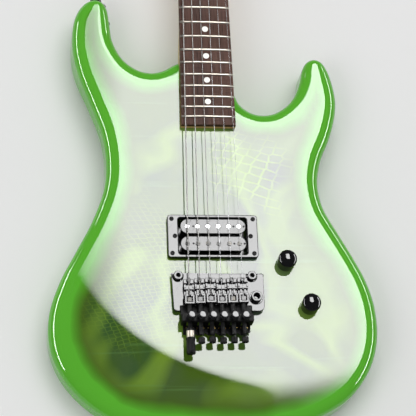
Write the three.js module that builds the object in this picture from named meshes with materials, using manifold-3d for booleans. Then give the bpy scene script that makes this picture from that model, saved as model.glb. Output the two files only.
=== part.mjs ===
// A double-cutaway electric guitar with a floating double-locking tremolo, one humbucking pickup and two knobs.
// Millimetres. It lies on its back: +Z comes out of its face, +Y runs up the neck, +X is the treble side.
// The origin is on the resting plane, straight below the middle of the bridge end of the string length.
import * as THREE from "three";
import { mergeVertices } from "three/addons/utils/BufferGeometryUtils.js";
import Module from "manifold-3d";

const wasm = await Module();
wasm.setup();

// ---- Driving dimensions -------------------------------------------------------------------------------------
const SCALE = 647.7; // string length from the nut to the saddles
const FRETS = 22;
const STRINGS = 6;
const GAP = 0.3; // clearance between pieces that touch in a turned group or round a curve
const RUN = 0.25; // radial clearance of a turning or sliding fit

const COVER = 2; // thickness of the two rear covers and the neck plate
const BODY_THICK = 44;
const BODY_BACK = COVER;
const BODY_TOP = BODY_BACK + BODY_THICK;
const EDGE_TOP = 10; // radius of the body's front edge
const EDGE_BACK = 5; // radius of the body's back edge
const EDGE_DIVISIONS = 2; // body outline facets between one outline point and the next

const BOARD_RISE = 9.5; // crown of the fretboard above the body's face
const BOARD_THICK = 6;
const BOARD_CROWN = 1; // how much the fretboard's middle stands above its edges
const BOARD_OVERHANG = 9; // fretboard past the last fret
const NUT_WIDTH = 43;
const HEEL_WIDTH = 56.4;
const NECK_DEPTH_NUT = 14; // wood under the fretboard at the nut
const NECK_DEPTH_HEEL = 16; // and where the round back runs into the heel
const POCKET_DEPTH = 16;
const FRET_WIDTH = 2.6;
const FRET_HEIGHT = 1;

const NUT_DEPTH = 16;
const NUT_SPREAD = 35.6; // outer string to outer string at the nut
const BRIDGE_SPREAD = 54; // and at the saddles
const STRING_RISE_BRIDGE = 14; // string above the body's face at the saddles
const STRING_RISE_NUT = 2; // string above the fretboard's crown at the nut
const STRING_RADII = [0.55, 0.45, 0.33, 0.22, 0.17, 0.13];

const HEAD_THICK = 14;
const HEAD_DROP = 6.5; // head's face below the underside of the fretboard
const POST_PITCH = 24.5;
const FIRST_POST = 50; // from the nut's front edge
const POST_SIDE = 3.2; // post axis beside its string
const POST_RADIUS = 3;
const POST_HOLE = 5;
const POST_RISE = 18; // post above the head's face
const POST_EDGE = 12.5; // post axis to the head's straight edge
const HOUSING_HEIGHT = 11;
const GEAR_RADIUS = 4.3;
const WORM_RADIUS = 2;
const GEAR_TEETH = 14;
const KEY_REACH = 36; // end of the key from the post's axis
const KEY_WIDTH = 18;

const PIVOT_Y = 10; // tremolo knife edges, up the neck from the saddles' line
const STUD_SPACING = 74;
const STUD_HEAD = 4.6;
const STUD_SHAFT = 3.8;
const INSERT_RADIUS = 4.5;
const PLATE_GAP = 4.5; // underside of the tremolo's plate above the body's face
const PLATE_THICK = 3;
const SADDLE_WIDTH = 10.2;
const LOCK_SCREW_RADIUS = 2.3;
const LOCK_HEAD_RADIUS = 3.4;
const RISER_DEPTH = 9;
const RISER_WIDTH = 71;
const LOCK_TAIL = 19.5; // end of the string lock screws past the riser
const RISER_FRONT = -31;
const TUNER_SCREW_RADIUS = 1.9;
const TUNER_HEAD_RADIUS = 4.3;
const BLOCK_WIDTH = 56;
const BLOCK_DEPTH = 12;
const DROP_RADIUS = 4.6;
const DROP_LENGTH = 26;

const PICKUP_Y = 53.2;
const RING = { width: 91.3, height: 45.2, thick: 5.7 };
const BOBBIN = { width: 66, height: 15.3, spacing: 18.2 };
const BOBBIN_RISE = 9; // bobbin tops above the body's face
const WINDOW_CLEARANCE = 2;

const KNOB_RADIUS = 9.3;
const KNOB_HEIGHT = 17.5;
const KNOB_DOME = 4; // height of the domed top
const SHAFT_RADIUS = 3;
const BUSHING_RADIUS = 3.7;
const POT_RADIUS = 12;
const VOLUME_AT = [73.6, 26.8];
const TONE_AT = [95.4, -18.7];
const CONTROL_TOP_WALL = 8;

const SPRING_CAVITY_DEPTH = 17;
const SPRING_RADIUS = 4.3;
const SPRING_X = [-12, 12];
const CLAW_Y = 108;
const JACK_Y = -33;
const JACK_RADIUS = 6;
const JACK_BORE = 3.3;

// ---- Levels and places worked out from them -----------------------------------------------------------------
const BOARD_TOP = BODY_TOP + BOARD_RISE;
const BOARD_BOTTOM = BOARD_TOP - BOARD_THICK;
const NUT_Y = SCALE;
const HEAD_FACE = BOARD_BOTTOM - HEAD_DROP;
const HEAD_BACK = HEAD_FACE - HEAD_THICK;
const LAST_FRET_Y = fretY(FRETS);
const BOARD_END = LAST_FRET_Y - BOARD_OVERHANG;
const PIVOT_Z = BODY_TOP + PLATE_GAP + PLATE_THICK - 0.5;
const PLATE_BOTTOM = BODY_TOP + PLATE_GAP;
const PLATE_TOP = PLATE_BOTTOM + PLATE_THICK;
const STRING_Z_BRIDGE = BODY_TOP + STRING_RISE_BRIDGE;
const STRING_Z_NUT = BOARD_TOP + STRING_RISE_NUT;
const LOCK_Z = PLATE_TOP + 5; // axis of the string lock screws
const CAVITY_ROOF = BODY_BACK + SPRING_CAVITY_DEPTH;
const SPRING_Z = BODY_BACK + SPRING_CAVITY_DEPTH / 2;
const PITCH_BRIDGE = BRIDGE_SPREAD / (STRINGS - 1);
const PITCH_NUT = NUT_SPREAD / (STRINGS - 1);

function fretY(n) {
  return SCALE * 2 ** (-n / 12);
}
function stringX(i, y) {
  const spread = BRIDGE_SPREAD + ((NUT_SPREAD - BRIDGE_SPREAD) * y) / SCALE;
  return spread * (i / (STRINGS - 1) - 0.5);
}
function boardWidth(y) {
  return NUT_WIDTH + ((HEEL_WIDTH - NUT_WIDTH) * (NUT_Y - y)) / (NUT_Y - BOARD_END);
}

// ---- Materials ----------------------------------------------------------------------------------------------
const finish = (color, roughness, metalness) =>
  new THREE.MeshStandardMaterial({ color, roughness, metalness });
const MATERIAL = {
  body: finish(0x5fb536, 0.12, 0),
  maple: finish(0xd9b982, 0.4, 0),
  rosewood: finish(0x553a30, 0.55, 0),
  blackMetal: finish(0x17171a, 0.22, 1),
  blackPlastic: finish(0x0e0e0f, 0.2, 0),
  rearPlastic: finish(0x131313, 0.45, 0),
  steel: finish(0xb9bcc0, 0.3, 1),
};

// ---- Geometry helpers ---------------------------------------------------------------------------------------
const toSolid = (geometry) => {
  const bare = geometry.index ? geometry.toNonIndexed() : geometry.clone();
  bare.deleteAttribute("normal");
  bare.deleteAttribute("uv");
  const merged = mergeVertices(bare, 1e-4);
  return new wasm.Manifold(
    new wasm.Mesh({
      numProp: 3,
      vertProperties: merged.attributes.position.array,
      triVerts: new Uint32Array(merged.index.array),
    }),
  );
};
const toGeometry = (solid) => {
  const mesh = solid.getMesh();
  return new THREE.BufferGeometry()
    .setAttribute("position", new THREE.BufferAttribute(mesh.vertProperties, 3))
    .setIndex(new THREE.BufferAttribute(mesh.triVerts, 1));
};
const join = (...geometries) =>
  toGeometry(geometries.map(toSolid).reduce((a, b) => a.add(b)));
const cut = (geometry, ...tools) =>
  toGeometry(tools.map(toSolid).reduce((a, b) => a.subtract(b), toSolid(geometry)));

// A box between two corners.
const box = (x0, x1, y0, y1, z0, z1) =>
  new THREE.BoxGeometry(x1 - x0, y1 - y0, z1 - z0).translate(
    (x0 + x1) / 2,
    (y0 + y1) / 2,
    (z0 + z1) / 2,
  );

// A cylinder standing along Z.
const rodZ = (x, y, z0, z1, radius, sides = 20) =>
  new THREE.CylinderGeometry(radius, radius, z1 - z0, sides)
    .rotateX(Math.PI / 2)
    .translate(x, y, (z0 + z1) / 2);

// Cylinders lying along X and along Y.
const rodX = (x0, x1, y, z, radius, sides = 20) =>
  new THREE.CylinderGeometry(radius, radius, x1 - x0, sides)
    .rotateZ(Math.PI / 2)
    .translate((x0 + x1) / 2, y, z);
const rodY = (x, y0, y1, z, radius, sides = 16) =>
  new THREE.CylinderGeometry(radius, radius, y1 - y0, sides).translate(x, (y0 + y1) / 2, z);

// A flat outline of [x, y] points, or a THREE.Shape, raised from z0 to z1.
const slab = (outline, z0, z1, curveSegments = 4) => {
  const shape = Array.isArray(outline)
    ? new THREE.Shape(outline.map(([x, y]) => new THREE.Vector2(x, y)))
    : outline;
  return new THREE.ExtrudeGeometry(shape, {
    depth: z1 - z0,
    bevelEnabled: false,
    curveSegments,
  }).translate(0, 0, z0);
};

// A side profile of [y, z] points, extruded along X from x0 to x1.
const sideProfile = (points, x0, x1) =>
  new THREE.ExtrudeGeometry(
    new THREE.Shape(points.map(([y, z]) => new THREE.Vector2(y, z))),
    { depth: x1 - x0, bevelEnabled: false },
  )
    .applyMatrix4(new THREE.Matrix4().set(0, 0, 1, x0, 1, 0, 0, 0, 0, 1, 0, 0, 0, 0, 0, 1));

// A rectangle with rounded corners.
const roundedRectangle = (x0, x1, y0, y1, r) => {
  const shape = new THREE.Shape();
  shape.moveTo(x0 + r, y0);
  shape.lineTo(x1 - r, y0);
  shape.absarc(x1 - r, y0 + r, r, -Math.PI / 2, 0);
  shape.lineTo(x1, y1 - r);
  shape.absarc(x1 - r, y1 - r, r, 0, Math.PI / 2);
  shape.lineTo(x0 + r, y1);
  shape.absarc(x0 + r, y1 - r, r, Math.PI / 2, Math.PI);
  shape.lineTo(x0, y0 + r);
  shape.absarc(x0 + r, y0 + r, r, Math.PI, 1.5 * Math.PI);
  return shape;
};

// A solid of revolution about Z from [radius, z] points that start and end on the axis or close on themselves.
const turned = (profile, sides = 20) =>
  new THREE.LatheGeometry(
    profile.map(([r, z]) => new THREE.Vector2(r, z)),
    sides,
  ).rotateX(Math.PI / 2);

// A closed skin over rings of equal point counts, capped flat at both ends. Each ring's points run anticlockwise
// as seen from the far end of the loft.
const loft = (rings) => {
  const count = rings[0].length;
  const position = rings.flat().flatMap((p) => [p.x, p.y, p.z]);
  const index = [];
  for (let k = 0; k + 1 < rings.length; k++)
    for (let i = 0; i < count; i++) {
      const a = k * count + i;
      const b = k * count + ((i + 1) % count);
      index.push(a, b, b + count, a, b + count, a + count);
    }
  const flat = (ring) => {
    const axis = ring[0].z === ring[Math.floor(count / 2)].z ? ["x", "y"] : ["x", "z"];
    return THREE.ShapeUtils.triangulateShape(
      ring.map((p) => new THREE.Vector2(p[axis[0]], p[axis[1]])),
      [],
    );
  };
  const last = (rings.length - 1) * count;
  flat(rings[0]).forEach(([a, b, c]) => index.push(a, c, b));
  flat(rings[rings.length - 1]).forEach(([a, b, c]) => index.push(last + a, last + b, last + c));
  const made = new THREE.BufferGeometry()
    .setAttribute("position", new THREE.Float32BufferAttribute(position, 3))
    .setIndex(index);
  const solid = toSolid(made);
  if (solid.volume() >= 0) return made;
  for (let i = 0; i < index.length; i += 3) [index[i], index[i + 1]] = [index[i + 1], index[i]];
  return made.setIndex(index);
};

// A curve that is straight between its points and is sampled at each of them.
class Route extends THREE.Curve {
  constructor(points) {
    super();
    this.points = points.map(([x, y, z]) => new THREE.Vector3(x, y, z));
  }
  getPoint(t, target = new THREE.Vector3()) {
    const place = t * (this.points.length - 1);
    const i = Math.min(Math.floor(place), this.points.length - 2);
    return target.lerpVectors(this.points[i], this.points[i + 1], place - i);
  }
  getPointAt(u, target) {
    return this.getPoint(u, target);
  }
}

// A round wire through points.
const wire = (points, radius, sides = 8) => {
  const section = new THREE.Shape();
  section.absarc(0, 0, radius, 0, 2 * Math.PI);
  const ring = section.getSpacedPoints(sides).slice(0, sides);
  return new THREE.ExtrudeGeometry(new THREE.Shape(ring), {
    steps: points.length - 1,
    extrudePath: new Route(points),
  });
};

const part = new THREE.Group();
const add = (name, geometry, material, group = part) => {
  const mesh = new THREE.Mesh(geometry, material);
  mesh.name = name;
  group.add(mesh);
  return mesh;
};

// ---- Body ---------------------------------------------------------------------------------------------------
// Outline of the body at its widest, clockwise from the treble side of the neck.
const BODY_OUTLINE = [
  [31, 212], [36, 202], [47, 193.5], [59, 191], [71, 193], [84, 201], [94, 213], [100.5, 229],
  [104.2, 244], [109, 252], [116.5, 255], [124, 252.4], [129.5, 245], [134.5, 230], [137.5, 209],
  [135.5, 190], [128, 165], [117.5, 140], [113, 115], [117, 89], [130, 63], [144, 37], [157, 9],
  [164, -19], [164, -52], [154, -83], [132, -111], [98, -131], [55, -144], [5, -149], [-45, -147],
  [-90, -136], [-125, -115], [-150, -88], [-163, -58], [-164, -25], [-154, 7], [-137, 40],
  [-119, 75], [-107, 110], [-105, 138], [-109, 168], [-121, 203], [-132, 234], [-137.5, 262],
  [-137, 286], [-133.5, 301], [-127.5, 311.5], [-121, 317.2], [-113.5, 319.2], [-106, 316.8],
  [-101, 309], [-98.6, 294], [-95.5, 272], [-85, 251.5], [-70, 240], [-56, 237], [-43, 240],
  [-31, 247], [-18, 251.5], [0, 250], [14, 242], [24, 229],
];

const outlineCurve = new THREE.CatmullRomCurve3(
  BODY_OUTLINE.toReversed().map(([x, y]) => new THREE.Vector3(x, y, 0)),
  true,
  "centripetal",
);

// The body's outline drawn in by a distance, at a level.
const outlineRing = (inset, z) =>
  Array.from({ length: BODY_OUTLINE.length * EDGE_DIVISIONS }, (_, i) => {
    const t = i / (BODY_OUTLINE.length * EDGE_DIVISIONS);
    const at = outlineCurve.getPoint(t);
    const along = outlineCurve.getTangent(t);
    return new THREE.Vector3(at.x - along.y * inset, at.y + along.x * inset, z);
  });

// Rings of a quarter round from the wall to the flat: side is 1 at the front and -1 at the back.
const edgeRings = (radius, level, side, steps) =>
  Array.from({ length: steps + 1 }, (_, k) => {
    const angle = (k / steps) * (Math.PI / 2);
    return outlineRing(
      radius * (1 - Math.cos(angle)),
      level - side * radius * (1 - Math.sin(angle)),
    );
  });

// Everything above a plane that leaves the face along a line through (x, y) and falls away towards `heading`.
const slopeCut = (x, y, heading, slope) =>
  box(-300, 300, 0, 300, 0, 60).rotateX(-slope).rotateZ(heading).translate(x, y, BODY_TOP);

// A wide drum lying across the bass-side rim, tipped up so that it bites deeper the further out it goes.
const drumCut = (x, y, radius, slope) =>
  rodX(-160, 0, 0, -radius, radius, 72)
    .rotateY(slope)
    .translate(x, y, BODY_BACK);

const neckPlan = (clearance, y0, y1) => {
  const half = (y) => boardWidth(y) / 2 + clearance;
  return [[-half(y0), y0], [half(y0), y0], [half(y1), y1], [-half(y1), y1]];
};

const BLOCK_FRONT = PIVOT_Y - 3;
const FOREARM = { heading: 2.46, slope: 0.12 }; // slope of the face under the player's forearm
const BELLY = { x: -56, y: 170, radius: 170, slope: 0.2 }; // hollow of the back against the player's ribs
const SPRING_CAVITY = { half: 38, y0: -24, y1: 124 };
const CONTROL_CAVITY = [[56, 46], [86, 50], [106, 22], [140, -16], [140, -50], [84, -50], [56, -20]];
const SPRING_SCREW_X = 20;

function makeBody() {
  const blank = loft([
    ...edgeRings(EDGE_BACK, BODY_BACK, -1, 3).reverse(),
    ...edgeRings(EDGE_TOP, BODY_TOP, 1, 4),
  ]);
  const tools = [
    slopeCut(-99, -13, FOREARM.heading, FOREARM.slope),
    drumCut(BELLY.x, BELLY.y, BELLY.radius, BELLY.slope),
    slab(neckPlan(GAP, BOARD_END - GAP, 300), BODY_TOP - POCKET_DEPTH, BODY_TOP + 10),
    box(-36, 36, PICKUP_Y - 20, PICKUP_Y + 20, BODY_TOP - 20, BODY_TOP + 1),
    box(-BLOCK_WIDTH / 2 - 2.5, BLOCK_WIDTH / 2 + 2.5, -16, BLOCK_FRONT + 3, CAVITY_ROOF - 1, BODY_TOP + 1),
    box(-SPRING_CAVITY.half, SPRING_CAVITY.half, SPRING_CAVITY.y0, SPRING_CAVITY.y1, 0, CAVITY_ROOF),
    slab(CONTROL_CAVITY, 0, BODY_TOP - CONTROL_TOP_WALL),
    ...[VOLUME_AT, TONE_AT].map(([x, y]) => rodZ(x, y, BODY_BACK + 10, BODY_TOP + 1, BUSHING_RADIUS + RUN)),
    ...[-1, 1].map((side) =>
      rodZ((side * STUD_SPACING) / 2, PIVOT_Y, CAVITY_ROOF + 2, BODY_TOP + 1, INSERT_RADIUS + RUN),
    ),
    ...[-1, 1].map((side) =>
      rodY(side * SPRING_SCREW_X, SPRING_CAVITY.y1 - 1, SPRING_CAVITY.y1 + 26, SPRING_Z, 2 + RUN, 10),
    ),
    rodX(130, 200, JACK_Y, JACK_Z, JACK_RADIUS + RUN),
    rodX(JACK_SEAT, 200, JACK_Y, JACK_Z, JACK_FLANGE + RUN, 24),
    ...STRAP_BUTTONS.map(({ at, heading }) => strapHole(at, heading)),
  ];
  add("body", cut(blank, ...tools), MATERIAL.body);
}

// ---- Strap buttons ------------------------------------------------------------------------------------------
const STRAP_Z = BODY_BACK + BODY_THICK / 2;
const STRAP_SCREW = 1.6;
const STRAP_BUTTONS = [
  { name: "strap_button_horn", at: [-106.3, 317.2], heading: -0.42 },
  { name: "strap_button_tail", at: [-1, -149], heading: Math.PI },
];

// Turns a piece made along +Y so that it points along a heading and starts at a place on the rim.
const onRim = (geometry, [x, y], heading) => geometry.rotateZ(heading).translate(x, y, STRAP_Z);
const strapHole = (at, heading) =>
  onRim(join(rodY(0, -24, 1, 0, STRAP_SCREW + RUN, 10), rodY(0, -1, 20, 0, 6 + RUN)), at, heading);

function makeStrapButtons() {
  const profile = [[0, -22], [STRAP_SCREW, -20], [STRAP_SCREW, GAP - 1], [6, GAP - 1], [5.6, 2], [4, 5],
    [4, 8], [7.5, 10.5], [7.5, 11.6], [5, 13], [0, 13]];
  for (const { name, at, heading } of STRAP_BUTTONS)
    add(name, onRim(turned(profile, 16).rotateX(-Math.PI / 2), at, heading), MATERIAL.blackMetal);
}

// ---- Neck, fretboard, frets ---------------------------------------------------------------------------------
// Section of the neck's wood: flat on top, and below it a curve that is round for the grip and square at the heel.
const neckSection = (y, width, depth, squareness) => {
  const steps = 14;
  return Array.from({ length: steps + 1 }, (_, k) => {
    const a = (Math.PI * k) / steps;
    const swell = (v) => Math.sign(v) * Math.abs(v) ** (2 / squareness);
    return new THREE.Vector3(
      (-width / 2) * swell(Math.cos(a)),
      y,
      BOARD_BOTTOM - Math.max(depth * swell(Math.sin(a)), 0),
    );
  });
};

const POST_ANGLE = Math.atan2(NUT_SPREAD, POST_PITCH * (STRINGS - 1));
const postAt = (i) => [stringX(i, NUT_Y) - POST_SIDE, NUT_Y + FIRST_POST + i * POST_PITCH];

// Head outline from the nut's treble side round its point to the straight edge that the keys stand along.
function headOutline() {
  const along = [Math.sin(POST_ANGLE), Math.cos(POST_ANGLE)];
  const edge = (i, further) => {
    const [x, y] = postAt(i);
    return [
      x - POST_EDGE * along[1] + further * along[0],
      y + POST_EDGE * along[0] + further * along[1],
    ];
  };
  const half = NUT_WIDTH / 2;
  const [lowX, lowY] = edge(0, -12);
  const [highX, highY] = edge(STRINGS - 1, 13);
  const shape = new THREE.Shape();
  shape.moveTo(-half, NUT_Y - 2);
  shape.lineTo(half, NUT_Y - 2);
  shape.lineTo(half, NUT_Y + NUT_DEPTH);
  shape.bezierCurveTo(half + 1, NUT_Y + 40, half + 17, NUT_Y + 40, half + 16, NUT_Y + 72);
  shape.bezierCurveTo(half + 15, NUT_Y + 110, half + 8, NUT_Y + 150, half + 21, NUT_Y + 198);
  shape.bezierCurveTo(half + 8, NUT_Y + 192, highX + 8, highY + 12, highX, highY);
  shape.lineTo(lowX, lowY);
  shape.bezierCurveTo(lowX - 3, lowY - 10, -half - 4, lowY - 12, -half, NUT_Y + NUT_DEPTH);
  return shape;
}

function makeNeck() {
  const grip = [280, 400, 520, 600, NUT_Y + NUT_DEPTH + 4];
  const depthAt = (y) =>
    NECK_DEPTH_HEEL - ((NECK_DEPTH_HEEL - NECK_DEPTH_NUT) * (y - 280)) / (NUT_Y - 280);
  const heelDepth = BOARD_BOTTOM - (BODY_TOP - POCKET_DEPTH) - 0.01;
  const shaft = loft([
    neckSection(BOARD_END, boardWidth(BOARD_END), heelDepth, 14),
    neckSection(256, boardWidth(256), heelDepth, 14),
    neckSection(268, boardWidth(268), NECK_DEPTH_HEEL + 1, 4),
    ...grip.map((y) => neckSection(y, boardWidth(Math.min(y, NUT_Y)), depthAt(y), 2.3)),
  ]);
  const ramp = sideProfile(
    [[NUT_Y, HEAD_BACK + 3], [NUT_Y + 34, HEAD_BACK + 3], [NUT_Y + 34, HEAD_FACE],
      [NUT_Y + 24, HEAD_FACE + 1.5], [NUT_Y + NUT_DEPTH + 3, BOARD_BOTTOM], [NUT_Y, BOARD_BOTTOM]],
    -NUT_WIDTH / 2,
    NUT_WIDTH / 2,
  );
  const holes = Array.from({ length: STRINGS }, (_, i) => {
    const [x, y] = postAt(i);
    return rodZ(x, y, HEAD_BACK - 1, HEAD_FACE + 20, POST_HOLE);
  });
  const wood = join(shaft, ramp, slab(headOutline(), HEAD_BACK, HEAD_FACE, 8));
  add("neck", cut(wood, ...holes), MATERIAL.maple);
}

// The fretboard's crowned top across a width, as [x, z] points from treble to bass.
const crown = (width, lift) =>
  Array.from({ length: 7 }, (_, k) => {
    const t = 1 - (2 * k) / 6;
    return [(t * width) / 2, BOARD_TOP - BOARD_CROWN * t * t + lift];
  });

function makeFretboard() {
  const section = (y) => {
    const width = boardWidth(y);
    return [[-width / 2, BOARD_BOTTOM], [width / 2, BOARD_BOTTOM], ...crown(width, 0)].map(
      ([x, z]) => new THREE.Vector3(x, y, z),
    );
  };
  const fret = (n) => {
    const y = fretY(n);
    const width = boardWidth(y) - 0.6;
    const ring = (at) =>
      [[-width / 2, BOARD_TOP - 3], [width / 2, BOARD_TOP - 3], ...crown(width, FRET_HEIGHT)].map(
        ([x, z]) => new THREE.Vector3(x, at, z),
      );
    return loft([ring(y - FRET_WIDTH / 2), ring(y + FRET_WIDTH / 2)]);
  };
  const board = loft([section(BOARD_END), section(NUT_Y - 0.1)]);
  const frets = Array.from({ length: FRETS }, (_, k) => fret(k + 1));
  add("fretboard", join(board, ...frets), MATERIAL.rosewood);
}

// ---- Locking nut --------------------------------------------------------------------------------------------
function makeNut() {
  const half = NUT_WIDTH / 2 - 0.2;
  const seat = STRING_Z_NUT - STRING_RADII[0] - 0.3;
  const clampBottom = STRING_Z_NUT + STRING_RADII[0] + 0.3;
  const clamps = [0, 1, 2].flatMap((k) => {
    const x = (k - 1) * 2 * PITCH_NUT;
    return [
      slab(roundedRectangle(x - 6.2, x + 6.2, NUT_Y + 1.5, NUT_Y + 14, 1.5), clampBottom, clampBottom + 4.2),
      rodZ(x, NUT_Y + 7.7, seat - 1, clampBottom + 6, 2.2, 12),
    ];
  });
  const base = box(-half, half, NUT_Y, NUT_Y + NUT_DEPTH, BOARD_BOTTOM, seat);
  add("locking_nut", join(base, ...clamps), MATERIAL.blackMetal);
}

// ---- Tuners -------------------------------------------------------------------------------------------------
const WORM_OFFSET = GEAR_RADIUS + WORM_RADIUS + 0.1;
const WORM_Z = -5.2;

// Each tuner stands in its own turned group: origin on the post's axis at the head's back, keys towards -X.
function makeTuner(i) {
  const [x, y] = postAt(i);
  const group = new THREE.Group();
  group.position.set(x, y, HEAD_BACK);
  group.rotation.z = -POST_ANGLE;
  part.add(group);

  const housing = cut(
    slab(roundedRectangle(-11, 7, -7.5, 10.5, 2.5), -HOUSING_HEIGHT, -GAP, 2),
    rodZ(0, 0, WORM_Z - 2.6, 1, GEAR_RADIUS + RUN, 18),
    rodZ(0, 0, -HOUSING_HEIGHT + 1, 0, 2 + RUN, 10),
    rodX(-12, 4.6, WORM_OFFSET, WORM_Z, WORM_RADIUS + RUN, 12),
  );
  add(`tuner_housing_${i + 1}`, housing, MATERIAL.blackMetal, group);

  const tooth = Array.from({ length: 2 * GEAR_TEETH }, (_, k) => {
    const a = (Math.PI * k) / GEAR_TEETH;
    const r = k % 2 ? GEAR_RADIUS - 0.7 : GEAR_RADIUS;
    return [r * Math.cos(a), r * Math.sin(a)];
  });
  const top = HEAD_THICK + POST_RISE;
  const shaft = turned(
    [[0, -HOUSING_HEIGHT + 1.4], [2, -HOUSING_HEIGHT + 1.4], [2, WORM_Z - 1], [POST_RADIUS, WORM_Z - 1],
      [POST_RADIUS, top - 13.5], [2.3, top - 12.5], [2.3, top - 6.5], [POST_RADIUS, top - 5.5],
      [POST_RADIUS, top - 0.8], [POST_RADIUS - 0.8, top], [0, top]],
    12,
  );
  const post = join(slab(tooth, WORM_Z - 2.2, WORM_Z + 2.2), shaft);
  add(`tuner_post_${i + 1}`, post, MATERIAL.blackMetal, group);

  const stem = rodX(-KEY_REACH + 12, 4.2, WORM_OFFSET, WORM_Z, WORM_RADIUS - 0.1, 10);
  const collar = rodX(-14, -11 - GAP, WORM_OFFSET, WORM_Z, 3.4, 12);
  const paddle = new THREE.ExtrudeGeometry(roundedRectangle(-KEY_REACH + 2, -KEY_REACH + 15, -KEY_WIDTH / 2 + 1.5, KEY_WIDTH / 2 - 1.5, 5), {
    depth: 3.4,
    bevelThickness: 1.5,
    bevelSize: 1.5,
    bevelSegments: 2,
    curveSegments: 3,
  }).translate(0, WORM_OFFSET, WORM_Z - 1.7);
  add(`tuner_key_${i + 1}`, join(stem, collar, paddle), MATERIAL.blackMetal, group);
}

// ---- Tremolo ------------------------------------------------------------------------------------------------
// Saddles are set back by different amounts, so that each string plays in tune.
const SET_BACK = [1.6, 0.9, 0.2, 0.9, 0.3, 0];
const bridgeX = (i) => stringX(i, 0);
const LOCK_SLOT = LOCK_SCREW_RADIUS + 0.9;
const RISER_BOTTOM = LOCK_Z + LOCK_SCREW_RADIUS + 0.7;
const RISER_TOP = RISER_BOTTOM + 4.5;
const RISER_MIDDLE = RISER_FRONT - RISER_DEPTH / 2;
const ARM_SOCKET = [40.5, -12];
const ARM_BORE = 3;

function makeTremoloPlate() {
  const left = -43.5;
  const right = 49;
  const front = 13;
  const wing = -26;
  const back = RISER_FRONT - RISER_DEPTH;
  const half = RISER_WIDTH / 2;
  const outline = new THREE.Shape();
  outline.moveTo(left, front);
  outline.lineTo(left + 1.5, wing + 6);
  outline.quadraticCurveTo(left + 2, wing, left + 7, wing);
  outline.lineTo(-half, wing);
  outline.lineTo(-half, back);
  outline.lineTo(half, back);
  outline.lineTo(half, wing);
  outline.lineTo(right - 5, wing);
  outline.quadraticCurveTo(right, wing + 1, right, wing + 7);
  outline.lineTo(right, front);
  const riser = cut(
    box(-half, half, back, RISER_FRONT, PLATE_BOTTOM, RISER_TOP),
    ...Array.from({ length: STRINGS }, (_, i) =>
      box(bridgeX(i) - LOCK_SLOT, bridgeX(i) + LOCK_SLOT, back - 1, RISER_FRONT + 1, PLATE_BOTTOM - 1, RISER_BOTTOM),
    ),
    ...Array.from({ length: STRINGS }, (_, i) =>
      rodZ(bridgeX(i), RISER_MIDDLE, RISER_BOTTOM - 1, RISER_TOP + 1, TUNER_SCREW_RADIUS + RUN, 12),
    ),
  );
  const slots = Array.from({ length: STRINGS }, (_, i) =>
    box(bridgeX(i) - LOCK_SLOT, bridgeX(i) + LOCK_SLOT, back - 1, RISER_FRONT + 1, PLATE_BOTTOM - 1, PLATE_TOP + 1),
  );
  const notches = [-1, 1].map((side) =>
    slab(
      new THREE.Shape().absarc((side * STUD_SPACING) / 2, PIVOT_Y, STUD_HEAD + 0.7, 0, 2 * Math.PI),
      PLATE_BOTTOM - 1, PLATE_TOP + 1, 8,
    ),
  );
  const notchMouths = [-1, 1].map((side) =>
    box((side * STUD_SPACING) / 2 - STUD_HEAD - 0.7, (side * STUD_SPACING) / 2 + STUD_HEAD + 0.7, PIVOT_Y, front + 1, PLATE_BOTTOM - 1, PLATE_TOP + 1),
  );
  const [sx, sy] = ARM_SOCKET;
  const socket = rodZ(sx, sy, PLATE_BOTTOM - 2, PLATE_TOP + 6.5, 5.4, 20);
  const bore = rodZ(sx, sy, PLATE_BOTTOM, PLATE_TOP + 8, ARM_BORE, 20);
  const plate = join(cut(slab(outline, PLATE_BOTTOM, PLATE_TOP), ...slots, ...notches, ...notchMouths), riser, socket);
  add("tremolo_plate", cut(plate, bore), MATERIAL.blackMetal);
}

function makeSustainBlock() {
  const block = box(-BLOCK_WIDTH / 2, BLOCK_WIDTH / 2, BLOCK_FRONT - BLOCK_DEPTH, BLOCK_FRONT, SPRING_Z - 4.5, PLATE_BOTTOM);
  const relief = box(-SPRING_X[1] + 6, SPRING_X[1] - 6, BLOCK_FRONT - 20, BLOCK_FRONT + 1, SPRING_Z - 5, SPRING_Z + 10);
  add("sustain_block", cut(block, relief), MATERIAL.blackMetal);
}

function makeSaddle(i) {
  const x = bridgeX(i);
  const back = -SET_BACK[i];
  const nose = STRING_Z_BRIDGE - STRING_RADII[0] - 0.15;
  const profile = [
    [8, PLATE_TOP + GAP], [8, PLATE_TOP + 3], [3.4, PLATE_TOP + 3.4], [0.5, nose], [-4.4, nose], [-4.9, nose - 2.8],
    [-9, nose - 2.8], [-10, nose + 3.6], [-19.5, nose + 3.6], [-19.5, PLATE_TOP + 1.7], [0, PLATE_TOP + GAP],
  ].map(([y, z]) => [y + back, z]);
  const cheek = sideProfile(profile.reverse(), x - SADDLE_WIDTH / 2, x + SADDLE_WIDTH / 2);
  const tail = RISER_FRONT - RISER_DEPTH + back;
  const isDropped = i === 0;
  const shank = rodY(x, tail - LOCK_TAIL + 4, back - 19, LOCK_Z, LOCK_SCREW_RADIUS, 12);
  const head = rodY(x, tail - LOCK_TAIL, tail - LOCK_TAIL + 8, LOCK_Z, LOCK_HEAD_RADIUS, 12);
  add(`saddle_${i + 1}`, isDropped ? join(cheek, shank) : join(cheek, shank, head), MATERIAL.blackMetal);
}

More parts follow.
